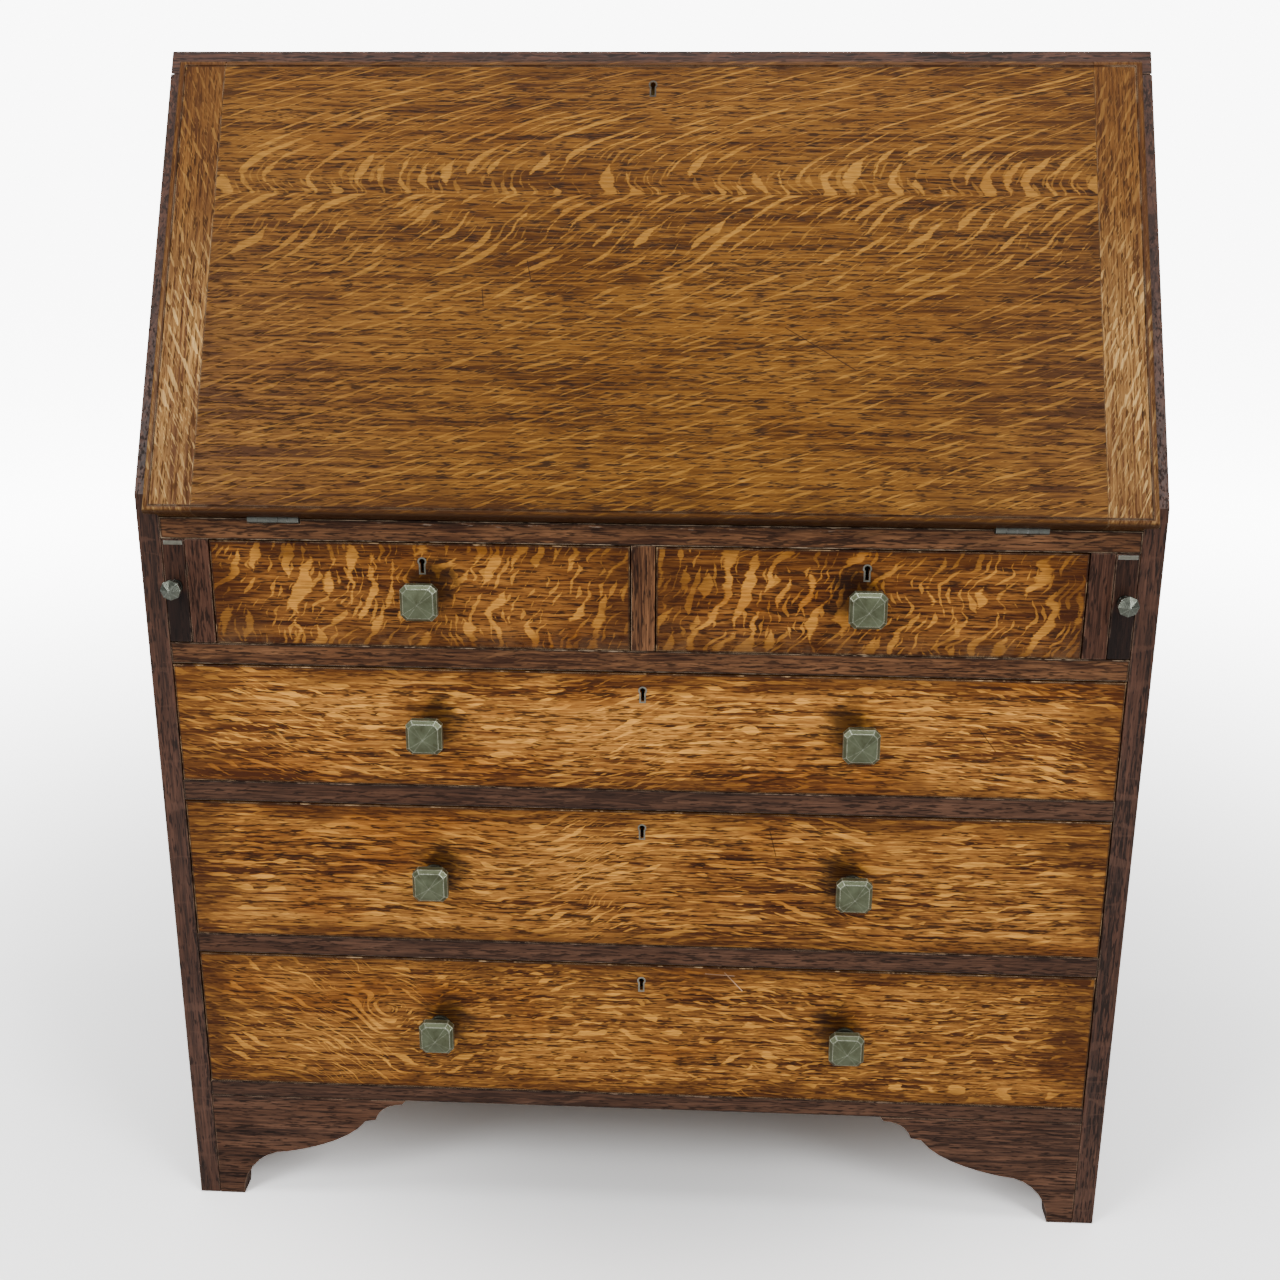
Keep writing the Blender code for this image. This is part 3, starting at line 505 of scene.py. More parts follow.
def two_sizes(bench, grain, along, across, spacing, length, seed, sway, cut, slim, small_share):
    """Large flecks, and small ones between them."""
    large = bench.place(RAY_FLECK, grain=grain, along=along, across=across, spacing=spacing, length=length,
                        sway=sway, cut=cut, slim=slim, soft=0.05, seed=seed)["Fleck"]
    small = bench.place(RAY_FLECK, grain=grain, along=along, across=across, spacing=spacing * 0.37,
                        length=length * 0.45, sway=sway, cut=cut + 0.01, slim=slim, soft=0.07,
                        seed=seed + 31.0)["Fleck"]
    return bench.math("MAXIMUM", large, bench.times(small, small_share))


def leaning_rays(lean, spacing, length, sway, cut, slim=0.42, small_share=0.6):
    """Flecks that lean over by a share of the height across the board."""
    def lay(bench, grain, seed):
        x, y, _ = bench.split(grain)
        along = bench.times(y, -lean, x)
        return two_sizes(bench, grain, along, y, spacing, length, seed, sway, cut, slim, small_share)
    return lay


def above_hills(bench, x, y, hills):
    """Height over a line of low hills, whose points go from 0 to 1 along a front and up it."""
    line = bench.curve(bench.range(x, -FRONT_REACH, FRONT_REACH), hills)
    return bench.times(line, -RAY_HILL, y)


def level_rays(hills, spacing, length):
    """Flecks lying along a front, in rows that follow a line of hills."""
    def lay(bench, grain, seed):
        x, y, _ = bench.split(grain)
        above = above_hills(bench, x, y, hills)
        return two_sizes(bench, grain, above, x, spacing, length, seed, 0.04, 0.46, 0.42, 0.6)
    return lay


def swirl_rays(hills, knot_along, knot_across):
    """Rows that follow a line of hills and bend round a knot on their way."""
    def lay(bench, grain, seed):
        x, y, _ = bench.split(grain)
        dx = bench.less(x, knot_along)
        dy = bench.less(y, knot_across)
        far = bench.math("SQRT", bench.times(dx, dx, bench.times(dy, dy)))
        near = bench.range(far, 0.018, 0.052, 1.0, 0.0, smooth=True)
        above = above_hills(bench, x, y, hills)
        round_knot = bench.times(far, -0.8, bench.times(above, 0.2))
        turned = bench.times(bench.less(round_knot, above), near, above)
        run = bench.times(y, 0.7, x)
        return two_sizes(bench, grain, turned, run, 0.0082, 0.020, seed, 0.060, 0.46, 0.40, 0.6)
    return lay


def lighter(tones, gain):
    """The same stain, paler or darker all through."""
    return {part: tuple(value * gain for value in color) for part, color in tones.items()}


def oak(name, centre, turn, tones, seed, rays=None, half=None, reach=0.03, grime=0.55, fleck_share=0.85,
        knobs=(), corner=1.0, shine=0.42, extra=None, specular=0.13, seam=0.85, stained=0.35):
    """Oak board: grain, flecks, grime, painted shade of the gap round it, hand marks and rubbed corners, laid one
    on the other.

    Half is the board's half length and half width, for the grime and the painted gap shade along its edges, and
    rays and extra are functions that lay its flecks and its own marks.
    """
    material, bench, shader = new_material(name)
    grain = grain_place(bench, centre, turn)
    parts = bench.place(OAK_GRAIN, grain=grain, seed=seed)
    color = bench.blend(parts["Tone"], rgba(tones["deep"]), rgba(tones["body"]))
    light = bench.times(parts["Fibre"], parts["Tone"])
    color = bench.coat(color, tones["pale"], light)
    color = bench.coat(color, tones["pore"], parts["Pore"], 0.85)
    height = bench.times(parts["Pore"], -1.0)
    gloss = bench.range(parts["Pore"], 0.0, 1.0, shine, shine + 0.25)
    if rays:
        fleck = rays(bench, grain, seed)
        mute = bench.range(parts["Fibre"], 0.0, 1.0, fleck_share * 0.45, fleck_share)
        color = bench.coat(color, tones["fleck"], fleck, mute)
        height = bench.times(fleck, 0.35, height)
        gloss = bench.times(fleck, -0.07, gloss)
    color = bench.coat(color, WATER_STAIN, parts["Stain"], stained, "MULTIPLY")
    if extra:
        color = extra(bench, grain, color)
    if half:
        edge = bench.place(EDGE_GRIME_AND_GAP_SHADE, grain=grain, half_length=half[0], half_width=half[1],
                           reach=reach, seed=seed)
        color = bench.coat(color, [value * 0.75 for value in tones["deep"]], edge["Grime"], grime)
        # Painted shade of the gap: a dark line along the board's edges.
        color = bench.coat(color, tones["pore"], edge["Seam"], seam)
    for along, inward in knobs:
        marks = bench.place(HAND_MARKS, grain=grain, knob_along=along, inward=inward)
        color = bench.coat(color, HAND_WARM, marks["Rub"], 0.22)
        color = bench.coat(color, HAND_BLACK, marks["Stain"], 0.82)
    if half:
        color = bench.coat(color, tones["bare"], edge["Arris"], 0.55)
    wear = bench.place(CORNER_WEAR, amount=corner, seed=seed)["Wear"]
    color = bench.coat(color, tones["bare"], wear, 0.75)
    bench.feed(shader.inputs["Base Color"], color)
    bench.feed(shader.inputs["Roughness"], gloss)
    relief = bench.add("ShaderNodeBump", {"Strength": 0.35, "Distance": 0.0004, "Height": height})
    bench.feed(shader.inputs["Normal"], relief.outputs[0])
    shader.inputs["Specular IOR Level"].default_value = specular
    return material


def metal(name, base, tarnish, edge, size, roughness, metallic, seed, edge_amount=1.0, bluntest=0.90,
          even=0.0, edge_width=0.0009, shaded_from=None):
    """Old metal: tarnish over the bare colour, brighter where its corners are rubbed.

    Size is that of the tarnish's blotches. Behind the depth given last, a knob's collar and neck are painted
    nearly black as painted shade.
    """
    material, bench, shader = new_material(name)
    marks = bench.place(MOTTLE, size=size, seed=seed)
    color = bench.blend(marks["Blotch"], rgba(base), rgba(tarnish))
    color = bench.coat(color, tarnish, marks["Speckle"], 0.22)
    wear = bench.place(CORNER_WEAR, radius=edge_width, amount=edge_amount, bluntest=bluntest, even=even,
                       seed=seed)["Wear"]
    color = bench.coat(color, edge, wear)
    if shaded_from is not None:
        # Painted shade: the collar and neck, near the face the knob stands on, go nearly black.
        depth = bench.split(bench.add("ShaderNodeTexCoord").outputs["Object"])[1]
        black = bench.range(depth, shaded_from - 0.002, shaded_from + 0.003, 0.0, 0.86, smooth=True)
        color = bench.coat(color, COLLAR_SHADE_BLACK, black)
    bench.feed(shader.inputs["Base Color"], color)
    rough = bench.times(marks["Blotch"], 0.18, roughness)
    bench.feed(shader.inputs["Roughness"], bench.times(wear, -0.12, rough))
    shader.inputs["Metallic"].default_value = metallic
    relief = bench.add("ShaderNodeBump", {"Strength": 0.25, "Distance": 0.0003,
                                          "Height": marks["Speckle"]})
    bench.feed(shader.inputs["Normal"], relief.outputs[0])
    return material


# ---------------------------------------------------------------- modelling

def alone(piece):
    """Makes one piece the only one selected, and the active one."""
    bpy.ops.object.select_all(action="DESELECT")
    piece.select_set(True)
    bpy.context.view_layer.objects.active = piece


def settle(piece):
    """Puts the piece's place, turn and size in its mesh."""
    alone(piece)
    bpy.ops.object.transform_apply(location=True, rotation=True, scale=True)


def block(name, low, high):
    """A block between two corners."""
    low, high = Vector(low), Vector(high)
    bpy.ops.object.select_all(action="DESELECT")
    bpy.ops.mesh.primitive_cube_add(size=1.0, location=(low + high) / 2)
    piece = bpy.context.object
    piece.name = name
    piece.scale = high - low
    settle(piece)
    return piece


def rod(name, radius, depth, place, turn=(0.0, 0.0, 0.0), steps=32):
    """A round bar, its axis upright unless it is turned."""
    bpy.ops.object.select_all(action="DESELECT")
    bpy.ops.mesh.primitive_cylinder_add(vertices=steps, radius=radius, depth=depth, location=place,
                                        rotation=turn)
    piece = bpy.context.object
    piece.name = name
    settle(piece)
    return piece


def merged_copy(node, name):
    """A plain piece's shape as a new piece, its triangles joined into whole faces."""
    piece = bpy.data.objects.new(name, NODES[node].data.copy())
    bpy.context.scene.collection.objects.link(piece)
    alone(piece)
    bpy.ops.object.mode_set(mode="EDIT")
    bpy.ops.mesh.select_all(action="SELECT")
    bpy.ops.mesh.remove_doubles(threshold=0.00001)
    bpy.ops.mesh.dissolve_limited(angle_limit=radians(1.0))
    bpy.ops.object.mode_set(mode="OBJECT")
    if piece.data.has_custom_normals:
        bpy.ops.mesh.customdata_custom_splitnormals_clear()
    piece.data.materials.clear()
    return piece


def pick(piece, kind, test):
    """In edit mode, selects the faces or edges that pass the test, and no others."""
    alone(piece)
    bpy.ops.object.mode_set(mode="EDIT")
    bpy.ops.mesh.select_mode(type="FACE" if kind == "faces" else "EDGE")
    bpy.ops.mesh.select_all(action="DESELECT")
    mesh = bmesh.from_edit_mesh(piece.data)
    for part in getattr(mesh, kind):
        part.select_set(test(part))
    bmesh.update_edit_mesh(piece.data)


def done(piece):
    """Leaves edit mode."""
    bpy.ops.object.mode_set(mode="OBJECT")
    return piece


def bevel_edges(piece, test, width, segments):
    """Rounds the edges that pass the test."""
    pick(piece, "edges", test)
    bpy.ops.mesh.bevel(offset=width, offset_type="OFFSET", segments=segments, clamp_overlap=True)
    return done(piece)


def apply_modifier(piece, kind, **settings):
    """Adds a modifier with its settings, and applies it."""
    alone(piece)
    modifier = piece.modifiers.new(kind.lower(), kind)
    for name, value in settings.items():
        setattr(modifier, name, value)
    bpy.ops.object.modifier_apply(modifier=modifier.name)


def soften(piece, width, segments=2):
    """Takes the sharpness off every corner."""
    apply_modifier(piece, "BEVEL", width=width, segments=segments, limit_method="ANGLE",
                   angle_limit=radians(35), use_clamp_overlap=True)
    return piece


def cut(piece, cutter, operation="DIFFERENCE"):
    """Cuts one piece with another, or joins the two, and throws the second away."""
    apply_modifier(piece, "BOOLEAN", operation=operation, object=cutter, solver="EXACT")
    bpy.data.objects.remove(cutter)
    return piece


def join(pieces, name):
    """Makes several meshes one piece."""
    bpy.ops.object.select_all(action="DESELECT")
    for piece in pieces:
        piece.select_set(True)
    bpy.context.view_layer.objects.active = pieces[0]
    bpy.ops.object.join()
    pieces[0].name = name
    return pieces[0]


def copy_at(piece, name, matrix):
    """A second piece of the same shape, with a mesh of its own, moved by the matrix."""
    twin = piece.copy()
    twin.data = piece.data.copy()
    twin.data.transform(matrix)
    twin.name = name
    bpy.context.scene.collection.objects.link(twin)
    return twin


def smooth(piece, angle=40):
    """Shades smoothly over edges blunter than the angle."""
    alone(piece)
    bpy.ops.object.shade_smooth_by_angle(angle=radians(angle))
    return piece


def fit(piece, body, material, stands_for=()):
    """Gives a finished piece its finish, its body and the nodes it stands for."""
    piece.data.materials.clear()
    piece.data.materials.append(material)
    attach(piece, body)
    if stands_for:
        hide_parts(*stands_for)
    return piece


def repaint(node, material, round_off=0.0):
    """A plain piece keeps its shape, with its own finish and, for wood, softened corners."""
    piece = NODES[node]
    piece.data.materials.clear()
    piece.data.materials.append(material)
    if round_off:
        weld = piece.modifiers.new("weld", "WELD")
        weld.merge_threshold = 0.00001
        bevel = piece.modifiers.new("bevel", "BEVEL")
        bevel.width = round_off
        bevel.segments = 2
        bevel.limit_method = "ANGLE"
        bevel.angle_limit = radians(35)


def repaint_oak(node, turn, tones, seed, rays=None, half=None, round_off=0.0, centre=None, **look):
    """The same with a stain of its own, its grain turned about the piece's middle."""
    finish = oak(node + "_oak", centre or middle_of(node), turn, tones, seed, rays, half, **look)
    repaint(node, finish, round_off)


def corners(points):
    """Lowest and highest corner of the box round some points."""
    return (Vector(min(point[axis] for point in points) for axis in range(3)),
            Vector(max(point[axis] for point in points) for axis in range(3)))


def middle_of(node):
    """Middle of a plain piece's box."""
    low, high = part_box(node)
    return (low + high) / 2


# ---------------------------------------------------------------- fall front

LIP_MARGIN = 0.0062        # from the lip's edge to the quirk
QUIRK_WIDTH = 0.0009
QUIRK_DEPTH = 0.0007
THUMB_RADIUS = 0.0036
BOARD_JOINT = 0.293        # of the fall's two boards, above its foot
SCRATCH_HALF = 0.0005      # half the width of a scratch


def in_fall(node):
    """A node's lowest and highest corners in the fall's own frame."""
    inverse = FALL.inverted()
    return corners([inverse @ vertex.co for vertex in NODES[node].data.vertices])


def fall_rays(length):
    """Figure of the fall: slanting above, upright bars in a band, short dashes below the joint.

    Each curve runs from the foot, 0, to the head, 1.
    """
    def lay(bench, grain, seed):
        x, y, _ = bench.split(grain)
        height = bench.range(y, -length / 2, length / 2)
        joint = BOARD_JOINT / length
        under, over = joint - 0.002, joint + 0.002
        drift = bench.curve(height, (
            (0.0, 0.02), (0.30, 0.358), (0.55, 0.599), (under, 0.671), (over, 0.677),
            (joint + 0.03, 0.670), (joint + 0.055, 0.673), (joint + 0.115, 0.705), (1.0, 0.945)))
        along = bench.times(drift, -1.05, x)
        rise = bench.curve(height, (
            (0.0, 0.0), (0.30, 0.30), (0.50, 0.48), (joint - 0.001, 0.57), (joint + 0.09, 0.605),
            (1.0, 0.71)))
        across = bench.times(rise, length)
        upper = bench.math("GREATER_THAN", height, joint)
        cut_at = bench.curve(height, (
            (0.0, 0.455), (0.35, 0.475), (joint - 0.10, 0.45), (under, 0.455), (over, 0.44),
            (joint + 0.08, 0.45), (1.0, 0.46)))
        slim = bench.curve(height, (
            (0.0, 0.46), (joint - 0.12, 0.44), (joint - 0.02, 0.36), (joint + 0.03, 0.34),
            (joint + 0.10, 0.48), (1.0, 0.52)))
        spacing = bench.range(upper, 0.0, 1.0, 0.0185, 0.0200)
        board = bench.times(upper, 7.0, seed)
        large = bench.place(RAY_FLECK, grain=grain, along=along, across=across, spacing=spacing,
                            length=0.0115, sway=0.046, cut=cut_at, slim=slim, soft=0.05, seed=board)
        finer = bench.times(spacing, 0.41)
        small = bench.place(RAY_FLECK, grain=grain, along=along, across=across, spacing=finer,
                            length=0.0060, sway=0.046, cut=cut_at, slim=slim, soft=0.08,
                            seed=bench.plus(board, 31.0))
        strength = bench.curve(height, ((0.0, 0.90), (0.25, 0.62), (0.55, 0.80), (joint, 1.0), (1.0, 0.95)))
        fleck = bench.math("MAXIMUM", large["Fleck"], bench.times(small["Fleck"], 0.5))
        rightward = bench.range(x, -0.30, 0.10, 0.80, 1.0, smooth=True)
        return bench.times(fleck, bench.times(strength, rightward))
    return lay


def fall_rim(centre, half_width, half_length):
    """Dirt and painted shade in the quirk, painted shade over the lip outside it, and a darker band along the
    fall's foot, the same on its board and on its cleats.
    """
    def lay(bench, grain, color):
        x, y, _ = bench.split(grain_place(bench, centre, HILL))
        to_side = bench.less(half_width, bench.off(x))
        to_end = bench.less(half_length, bench.off(y))
        rim = bench.math("MINIMUM", to_side, to_end)
        off = bench.off(bench.less(rim, LIP_MARGIN - QUIRK_WIDTH / 2))
        line = bench.range(off, QUIRK_WIDTH * 0.8, QUIRK_WIDTH * 1.9, 0.93, 0.0, smooth=True)
        # Dirt and painted shade in the quirk's groove.
        color = bench.coat(color, QUIRK_DIRT_AND_SHADE, line)
        over = bench.range(rim, LIP_MARGIN - QUIRK_WIDTH, LIP_MARGIN, 0.45, 0.0)
        # Painted shade over the lip, outside the quirk.
        color = bench.coat(color, LIP_SHADE, over)
        # The fall is made darker along its foot.
        foot = bench.range(y, 0.003 - half_length, 0.0006 - half_length, 0.0, 0.85, smooth=True)
        return bench.coat(color, FOOT_DARKENING, foot)
    return lay


def scratched(scratches):
    """Fine scratches on a face: middle along and across, angle, half length and tone of each."""
    def lay(bench, grain, color):
        x, y, _ = bench.split(grain)
        for along, across, angle, half_length, tone in scratches:
            dx = bench.less(x, along)
            dy = bench.less(y, across)
            run_x, run_y = cos(radians(angle)), sin(radians(angle))
            run = bench.times(dx, run_x, bench.times(dy, run_y))
            off = bench.times(dy, run_x, bench.times(dx, -run_y))
            on_line = bench.math("LESS_THAN", bench.off(off), SCRATCH_HALF)
            within = bench.math("LESS_THAN", bench.off(run), half_length)
            color = bench.coat(color, SCRATCH_TONES[tone], bench.times(on_line, within), 0.7)
        return color
    return lay


def fall_marks(bench, grain, color):
    """A few dark spots, one long scratch and two short ones on the fall's outer face."""
    spots = bench.add("ShaderNodeTexVoronoi", {"Vector": bench.stretch(grain, (11.0, 15.0, 0.0)),
                                               "Scale": 1.0}).outputs["Distance"]
    pits = bench.range(spots, 0.022, 0.042, 1.0, 0.0, smooth=True)
    color = bench.coat(color, PIT_BLACK, pits, 0.75)
    return scratched(((0.150, -0.059, -32, 0.036, "dark"), (-0.105, 0.010, -78, 0.010, "dark"),
                      (-0.145, -0.015, -84, 0.008, "dark")))(bench, grain, color)


def build_fall(dark_thread):
    """The fall's board and cleats with a thumb-moulded rim and its quirk, and the keyhole's thread."""
    low, high = in_fall("fall_panel")
    cleat_low, cleat_high = in_fall("fall_cleat_right")
    foot, head, face = low.y, high.y, high.z
    edge = cleat_high.x
    length = head - foot
    margin_x = edge - LIP_MARGIN
    lines = [((-margin_x, head - LIP_MARGIN), (margin_x, head - LIP_MARGIN + QUIRK_WIDTH)),
             ((-margin_x, foot + LIP_MARGIN - QUIRK_WIDTH), (margin_x, foot + LIP_MARGIN)),
             ((margin_x - QUIRK_WIDTH, foot + LIP_MARGIN), (margin_x, head - LIP_MARGIN)),
             ((-margin_x, foot + LIP_MARGIN), (-margin_x + QUIRK_WIDTH, head - LIP_MARGIN))]

    def on_rim(edge_part):
        """The outer face's border, but not the seams between board and cleats."""
        a, b = (vertex.co for vertex in edge_part.verts)
        if min(a.z, b.z) < face - CLOSE:
            return False
        ends = all(abs(point.y - head) < CLOSE or abs(point.y - foot) < CLOSE for point in (a, b))
        level = abs(a.y - b.y) < CLOSE
        sides = all(abs(abs(point.x) - edge) < CLOSE for point in (a, b)) and abs(a.x - b.x) < CLOSE
        return (ends and level) or sides

    centre = FALL @ Vector((0.0, (foot + head) / 2, face))
    half = (edge, length / 2)
    rim = fall_rim(centre, edge, length / 2)

    def board_marks(bench, grain, color):
        return rim(bench, grain, fall_marks(bench, grain, color))

    def cleat_marks(bench, grain, color):
        """The cleats are darker towards their upper ends, as dark as the board between them."""
        x = bench.split(grain)[0]
        shade = bench.range(x, -0.06, 0.09, 0.10, 1.0, smooth=True)
        color = bench.coat(color, CLEAT_HEAD_DARKENING, shade, way="MULTIPLY")
        return rim(bench, grain, color)

    board_finish = oak("fall_oak", centre, HILL, HONEY, 3.0, fall_rays(length), half, 0.050, 0.45,
                       extra=board_marks, corner=0.25, seam=0.0)
    pieces = [("fall_panel", "fall_board", board_finish)]
    for label, side in SIDES:
        cleat_centre = FALL @ Vector((side * (cleat_low.x + cleat_high.x) / 2, (foot + head) / 2, face))
        cleat_half = (length / 2, (cleat_high.x - cleat_low.x) / 2 + 0.02)
        finish = oak("fall_cleat_oak_" + label, cleat_centre, HILL_END, STRAW, 7.0 + side,
                     leaning_rays(2.2 * side, 0.017, 0.0075, 0.040, 0.46, 0.40), cleat_half, 0.10, 0.5,
                     extra=cleat_marks, corner=0.35, seam=0.35)
        pieces.append(("fall_cleat_" + label, "fall_end_" + label, finish))
    for node, name, finish in pieces:
        piece = merged_copy(node, name)
        piece.data.transform(FALL.inverted())
        bevel_edges(piece, on_rim, THUMB_RADIUS, 5)
        for first, second in lines:
            groove = block("groove", (*first, face - QUIRK_DEPTH), (*second, face + 0.001))
            cut(piece, groove)
        piece.data.transform(FALL)
        smooth(piece, 35)
        fit(piece, "fall", finish, (node,))
    hole_low, hole_high = keyhole_box("fall_panel", FALL.inverted(), 2, True)
    to_face = (FALL @ Matrix.Translation((0.0, 0.0, face)) @ Matrix.Rotation(-pi / 2, 4, "X")
               @ Matrix.Translation((0.0, -FRONT, 0.0)))
    ring = escutcheon("fall_escutcheon", Vector((hole_low.x, FRONT, hole_low.y)),
                      Vector((hole_high.x, FRONT, hole_high.y)))
    ring.data.transform(to_face)
    fit(ring, "fall", dark_thread)


# ---------------------------------------------------------------- drawers

def keyhole_box(node, to_own=Matrix.Identity(4), face_axis=1, at_high=False):
    """Lowest and highest corners of the keyhole cut in a board's face, in the board's own frame."""
    points = [to_own @ vertex.co for vertex in NODES[node].data.vertices]
    level = (max if at_high else min)(point[face_axis] for point in points)
    face = [point for point in points if abs(point[face_axis] - level) < CLOSE]
    low, high = corners(face)
    border = 0.01
    across = (0, 3 - face_axis)
    return corners([point for point in face
                    if all(low[axis] + border < point[axis] < high[axis] - border for axis in across)])


ESCUTCHEON_RIM = 0.0013
ESCUTCHEON_PROUD = 0.00025
SLOT_SHARE = 0.62          # of the keyhole's round head


def keyhole_solid(name, centre_x, top, bottom, radius, slot_half, proud):
    """A keyhole's own shape as a solid through the front face: round above, slot below."""
    head = rod(name, radius, 2 * proud, (centre_x, FRONT, top - radius), (pi / 2, 0.0, 0.0), 40)
    slot = block("slot", (centre_x - slot_half, FRONT - proud, bottom),
                 (centre_x + slot_half, FRONT + proud, top - radius))
    return cut(head, slot, "UNION")


def escutcheon(name, low, high):
    """Thin metal thread let in round a keyhole in an upright face."""
    radius = (high.x - low.x) / 2
    centre_x = (high.x + low.x) / 2
    slot_half = radius * SLOT_SHARE
    outer = keyhole_solid(name, centre_x, high.z + ESCUTCHEON_RIM, low.z - ESCUTCHEON_RIM,
                          radius + ESCUTCHEON_RIM, slot_half + ESCUTCHEON_RIM, ESCUTCHEON_PROUD)
    inner = keyhole_solid("hole", centre_x, high.z, low.z, radius, slot_half, 0.002)
    return smooth(cut(outer, inner), 40)


FRONT_RAYS = {
    "bottom_drawer": swirl_rays(((0.0, 0.98), (0.08, 0.84), (0.16, 0.52), (0.205, 0.26), (0.235, 0.20),
                                 (0.30, 0.30), (0.45, 0.40), (0.70, 0.36), (1.0, 0.52)), -0.245, 0.012),
    "middle_drawer": level_rays(((0.0, 0.55), (0.2, 0.50), (0.36, 0.36), (0.50, 0.75), (0.62, 0.78),
                                 (0.80, 0.58), (1.0, 0.66)), 0.0085, 0.024),
    "top_drawer": level_rays(((0.0, 0.86), (0.22, 0.46), (0.38, 0.42), (0.58, 0.74), (0.78, 0.70),
                              (1.0, 0.42)), 0.0082, 0.022),
    "left_small_drawer": leaning_rays(0.30, 0.0195, 0.034, 0.085, 0.45, 0.33, 0.75),
    "right_small_drawer": leaning_rays(0.38, 0.0205, 0.036, 0.090, 0.45, 0.33, 0.75),
}

# Middle along and across, angle in degrees, half length and tone of each
FRONT_SCRATCHES = {
    "bottom_drawer": ((0.087, 0.056, -48, 0.013, "pale"), (0.074, 0.063, -3, 0.014, "pale")),
    "middle_drawer": ((0.120, 0.040, -76, 0.013, "dark"),),
    "top_drawer": ((0.307, 0.000, -53, 0.014, "dark"),),
}


FRONT_TONES = {"top_drawer": lighter(GOLDEN, 1.28), "middle_drawer": lighter(GOLDEN, 1.08),
               "bottom_drawer": GOLDEN, "left_small_drawer": RUSSET, "right_small_drawer": RUSSET}


def build_fronts(escutcheon_metal):
    """Drawer fronts with eased edges, each with its own figure and a thread round its keyhole."""
    for index, drawer in enumerate(DRAWERS):
        node = drawer + "_front"
        low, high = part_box(node)
        centre = Vector(((low.x + high.x) / 2, FRONT, (low.z + high.z) / 2))
        half = ((high.x - low.x) / 2, (high.z - low.z) / 2)
        if "small" in drawer:
            knobs = [(middle_of(drawer + "_knob").x - centre.x, -1.0 if centre.x > 0 else 1.0)]
        else:
            knobs = [(middle_of(f"{drawer}_knob_{label}").x, -side) for label, side in SIDES]
        finish = oak(node + "_oak", centre, LEVEL_FACE, FRONT_TONES[drawer], 11.0 + 3.7 * index,
                     FRONT_RAYS[drawer], half, 0.036, 0.66, knobs=knobs, corner=0.9, shine=0.40,
                     stained=0.75, extra=scratched(FRONT_SCRATCHES.get(drawer, ())))
        keyhole_low, keyhole_high = keyhole_box(node)
        piece = merged_copy(node, drawer + "_face_board")
        outline = [(low.x, high.x), (low.z, high.z)]

        def on_border(part, spans=outline):
            a, b = (vertex.co for vertex in part.verts)
            if max(a.y, b.y) > FRONT + CLOSE:
                return False
            return any(abs(a[axis] - limit) < CLOSE and abs(b[axis] - limit) < CLOSE
                       for axis, span in ((0, spans[0]), (2, spans[1])) for limit in span)

        bevel_edges(piece, on_border, 0.0011, 3)
        smooth(piece, 35)
        fit(piece, BODY_OF[node], finish, (node,))
        ring = escutcheon(drawer + "_escutcheon", keyhole_low, keyhole_high)
        fit(ring, BODY_OF[node], escutcheon_metal)


# ---------------------------------------------------------------- knobs

def square_head(name, box_low, box_high):
    """Square knob, modelled about its own axis: collar, neck, and a head with cut corners."""
    half = (box_high.x - box_low.x) / 2
    reach = box_high.y - box_low.y
    back, front = -reach * 0.545, -reach * 0.745       # of the head's square band
    slope, peak, undercut = reach * 0.115, reach * 0.125, reach * 0.07
    head = block(name, (-half, front, -half), (half, back, half))
    bevel_edges(head, lambda part: abs(part.verts[0].co.y - part.verts[1].co.y) > 0.001, half * 0.30, 1)
    pick(head, "faces", lambda face: face.normal.y < -0.9)
    bpy.ops.mesh.extrude_region_move(TRANSFORM_OT_translate={"value": (0.0, -slope, 0.0)})
    bpy.ops.transform.resize(value=(0.82, 1.0, 0.82))
    bpy.ops.mesh.inset(thickness=half * 0.035, depth=half * 0.012)
    bpy.ops.mesh.poke(offset=peak)
    done(head)
    pick(head, "faces", lambda face: face.normal.y > 0.9)
    bpy.ops.mesh.extrude_region_move(TRANSFORM_OT_translate={"value": (0.0, undercut, 0.0)})
    bpy.ops.transform.resize(value=(0.80, 1.0, 0.80))
    done(head)
    soften(head, 0.00022, 1)
    collar, flare, neck = reach * 0.10, reach * 0.07, reach * 0.32
    collar_radius, neck_radius, step = half * 0.66, half * 0.40, 0.0008
    taper = neck_radius / (neck_radius + step)
    shank = rod("shank", collar_radius, collar, (0.0, -collar / 2, 0.0), (pi / 2, 0.0, 0.0), 32)
    pick(shank, "faces", lambda face: face.normal.y < -0.9)
    bpy.ops.mesh.inset(thickness=collar_radius - neck_radius - step, depth=0.0006)
    bpy.ops.mesh.extrude_region_move(TRANSFORM_OT_translate={"value": (0.0, -flare, 0.0)})
    bpy.ops.transform.resize(value=(taper, 1.0, taper))
    bpy.ops.mesh.extrude_region_move(TRANSFORM_OT_translate={"value": (0.0, -neck, 0.0)})
    done(shank)
    soften(shank, 0.0004, 2)
    return smooth(cut(head, shank, "UNION"), 11.5)


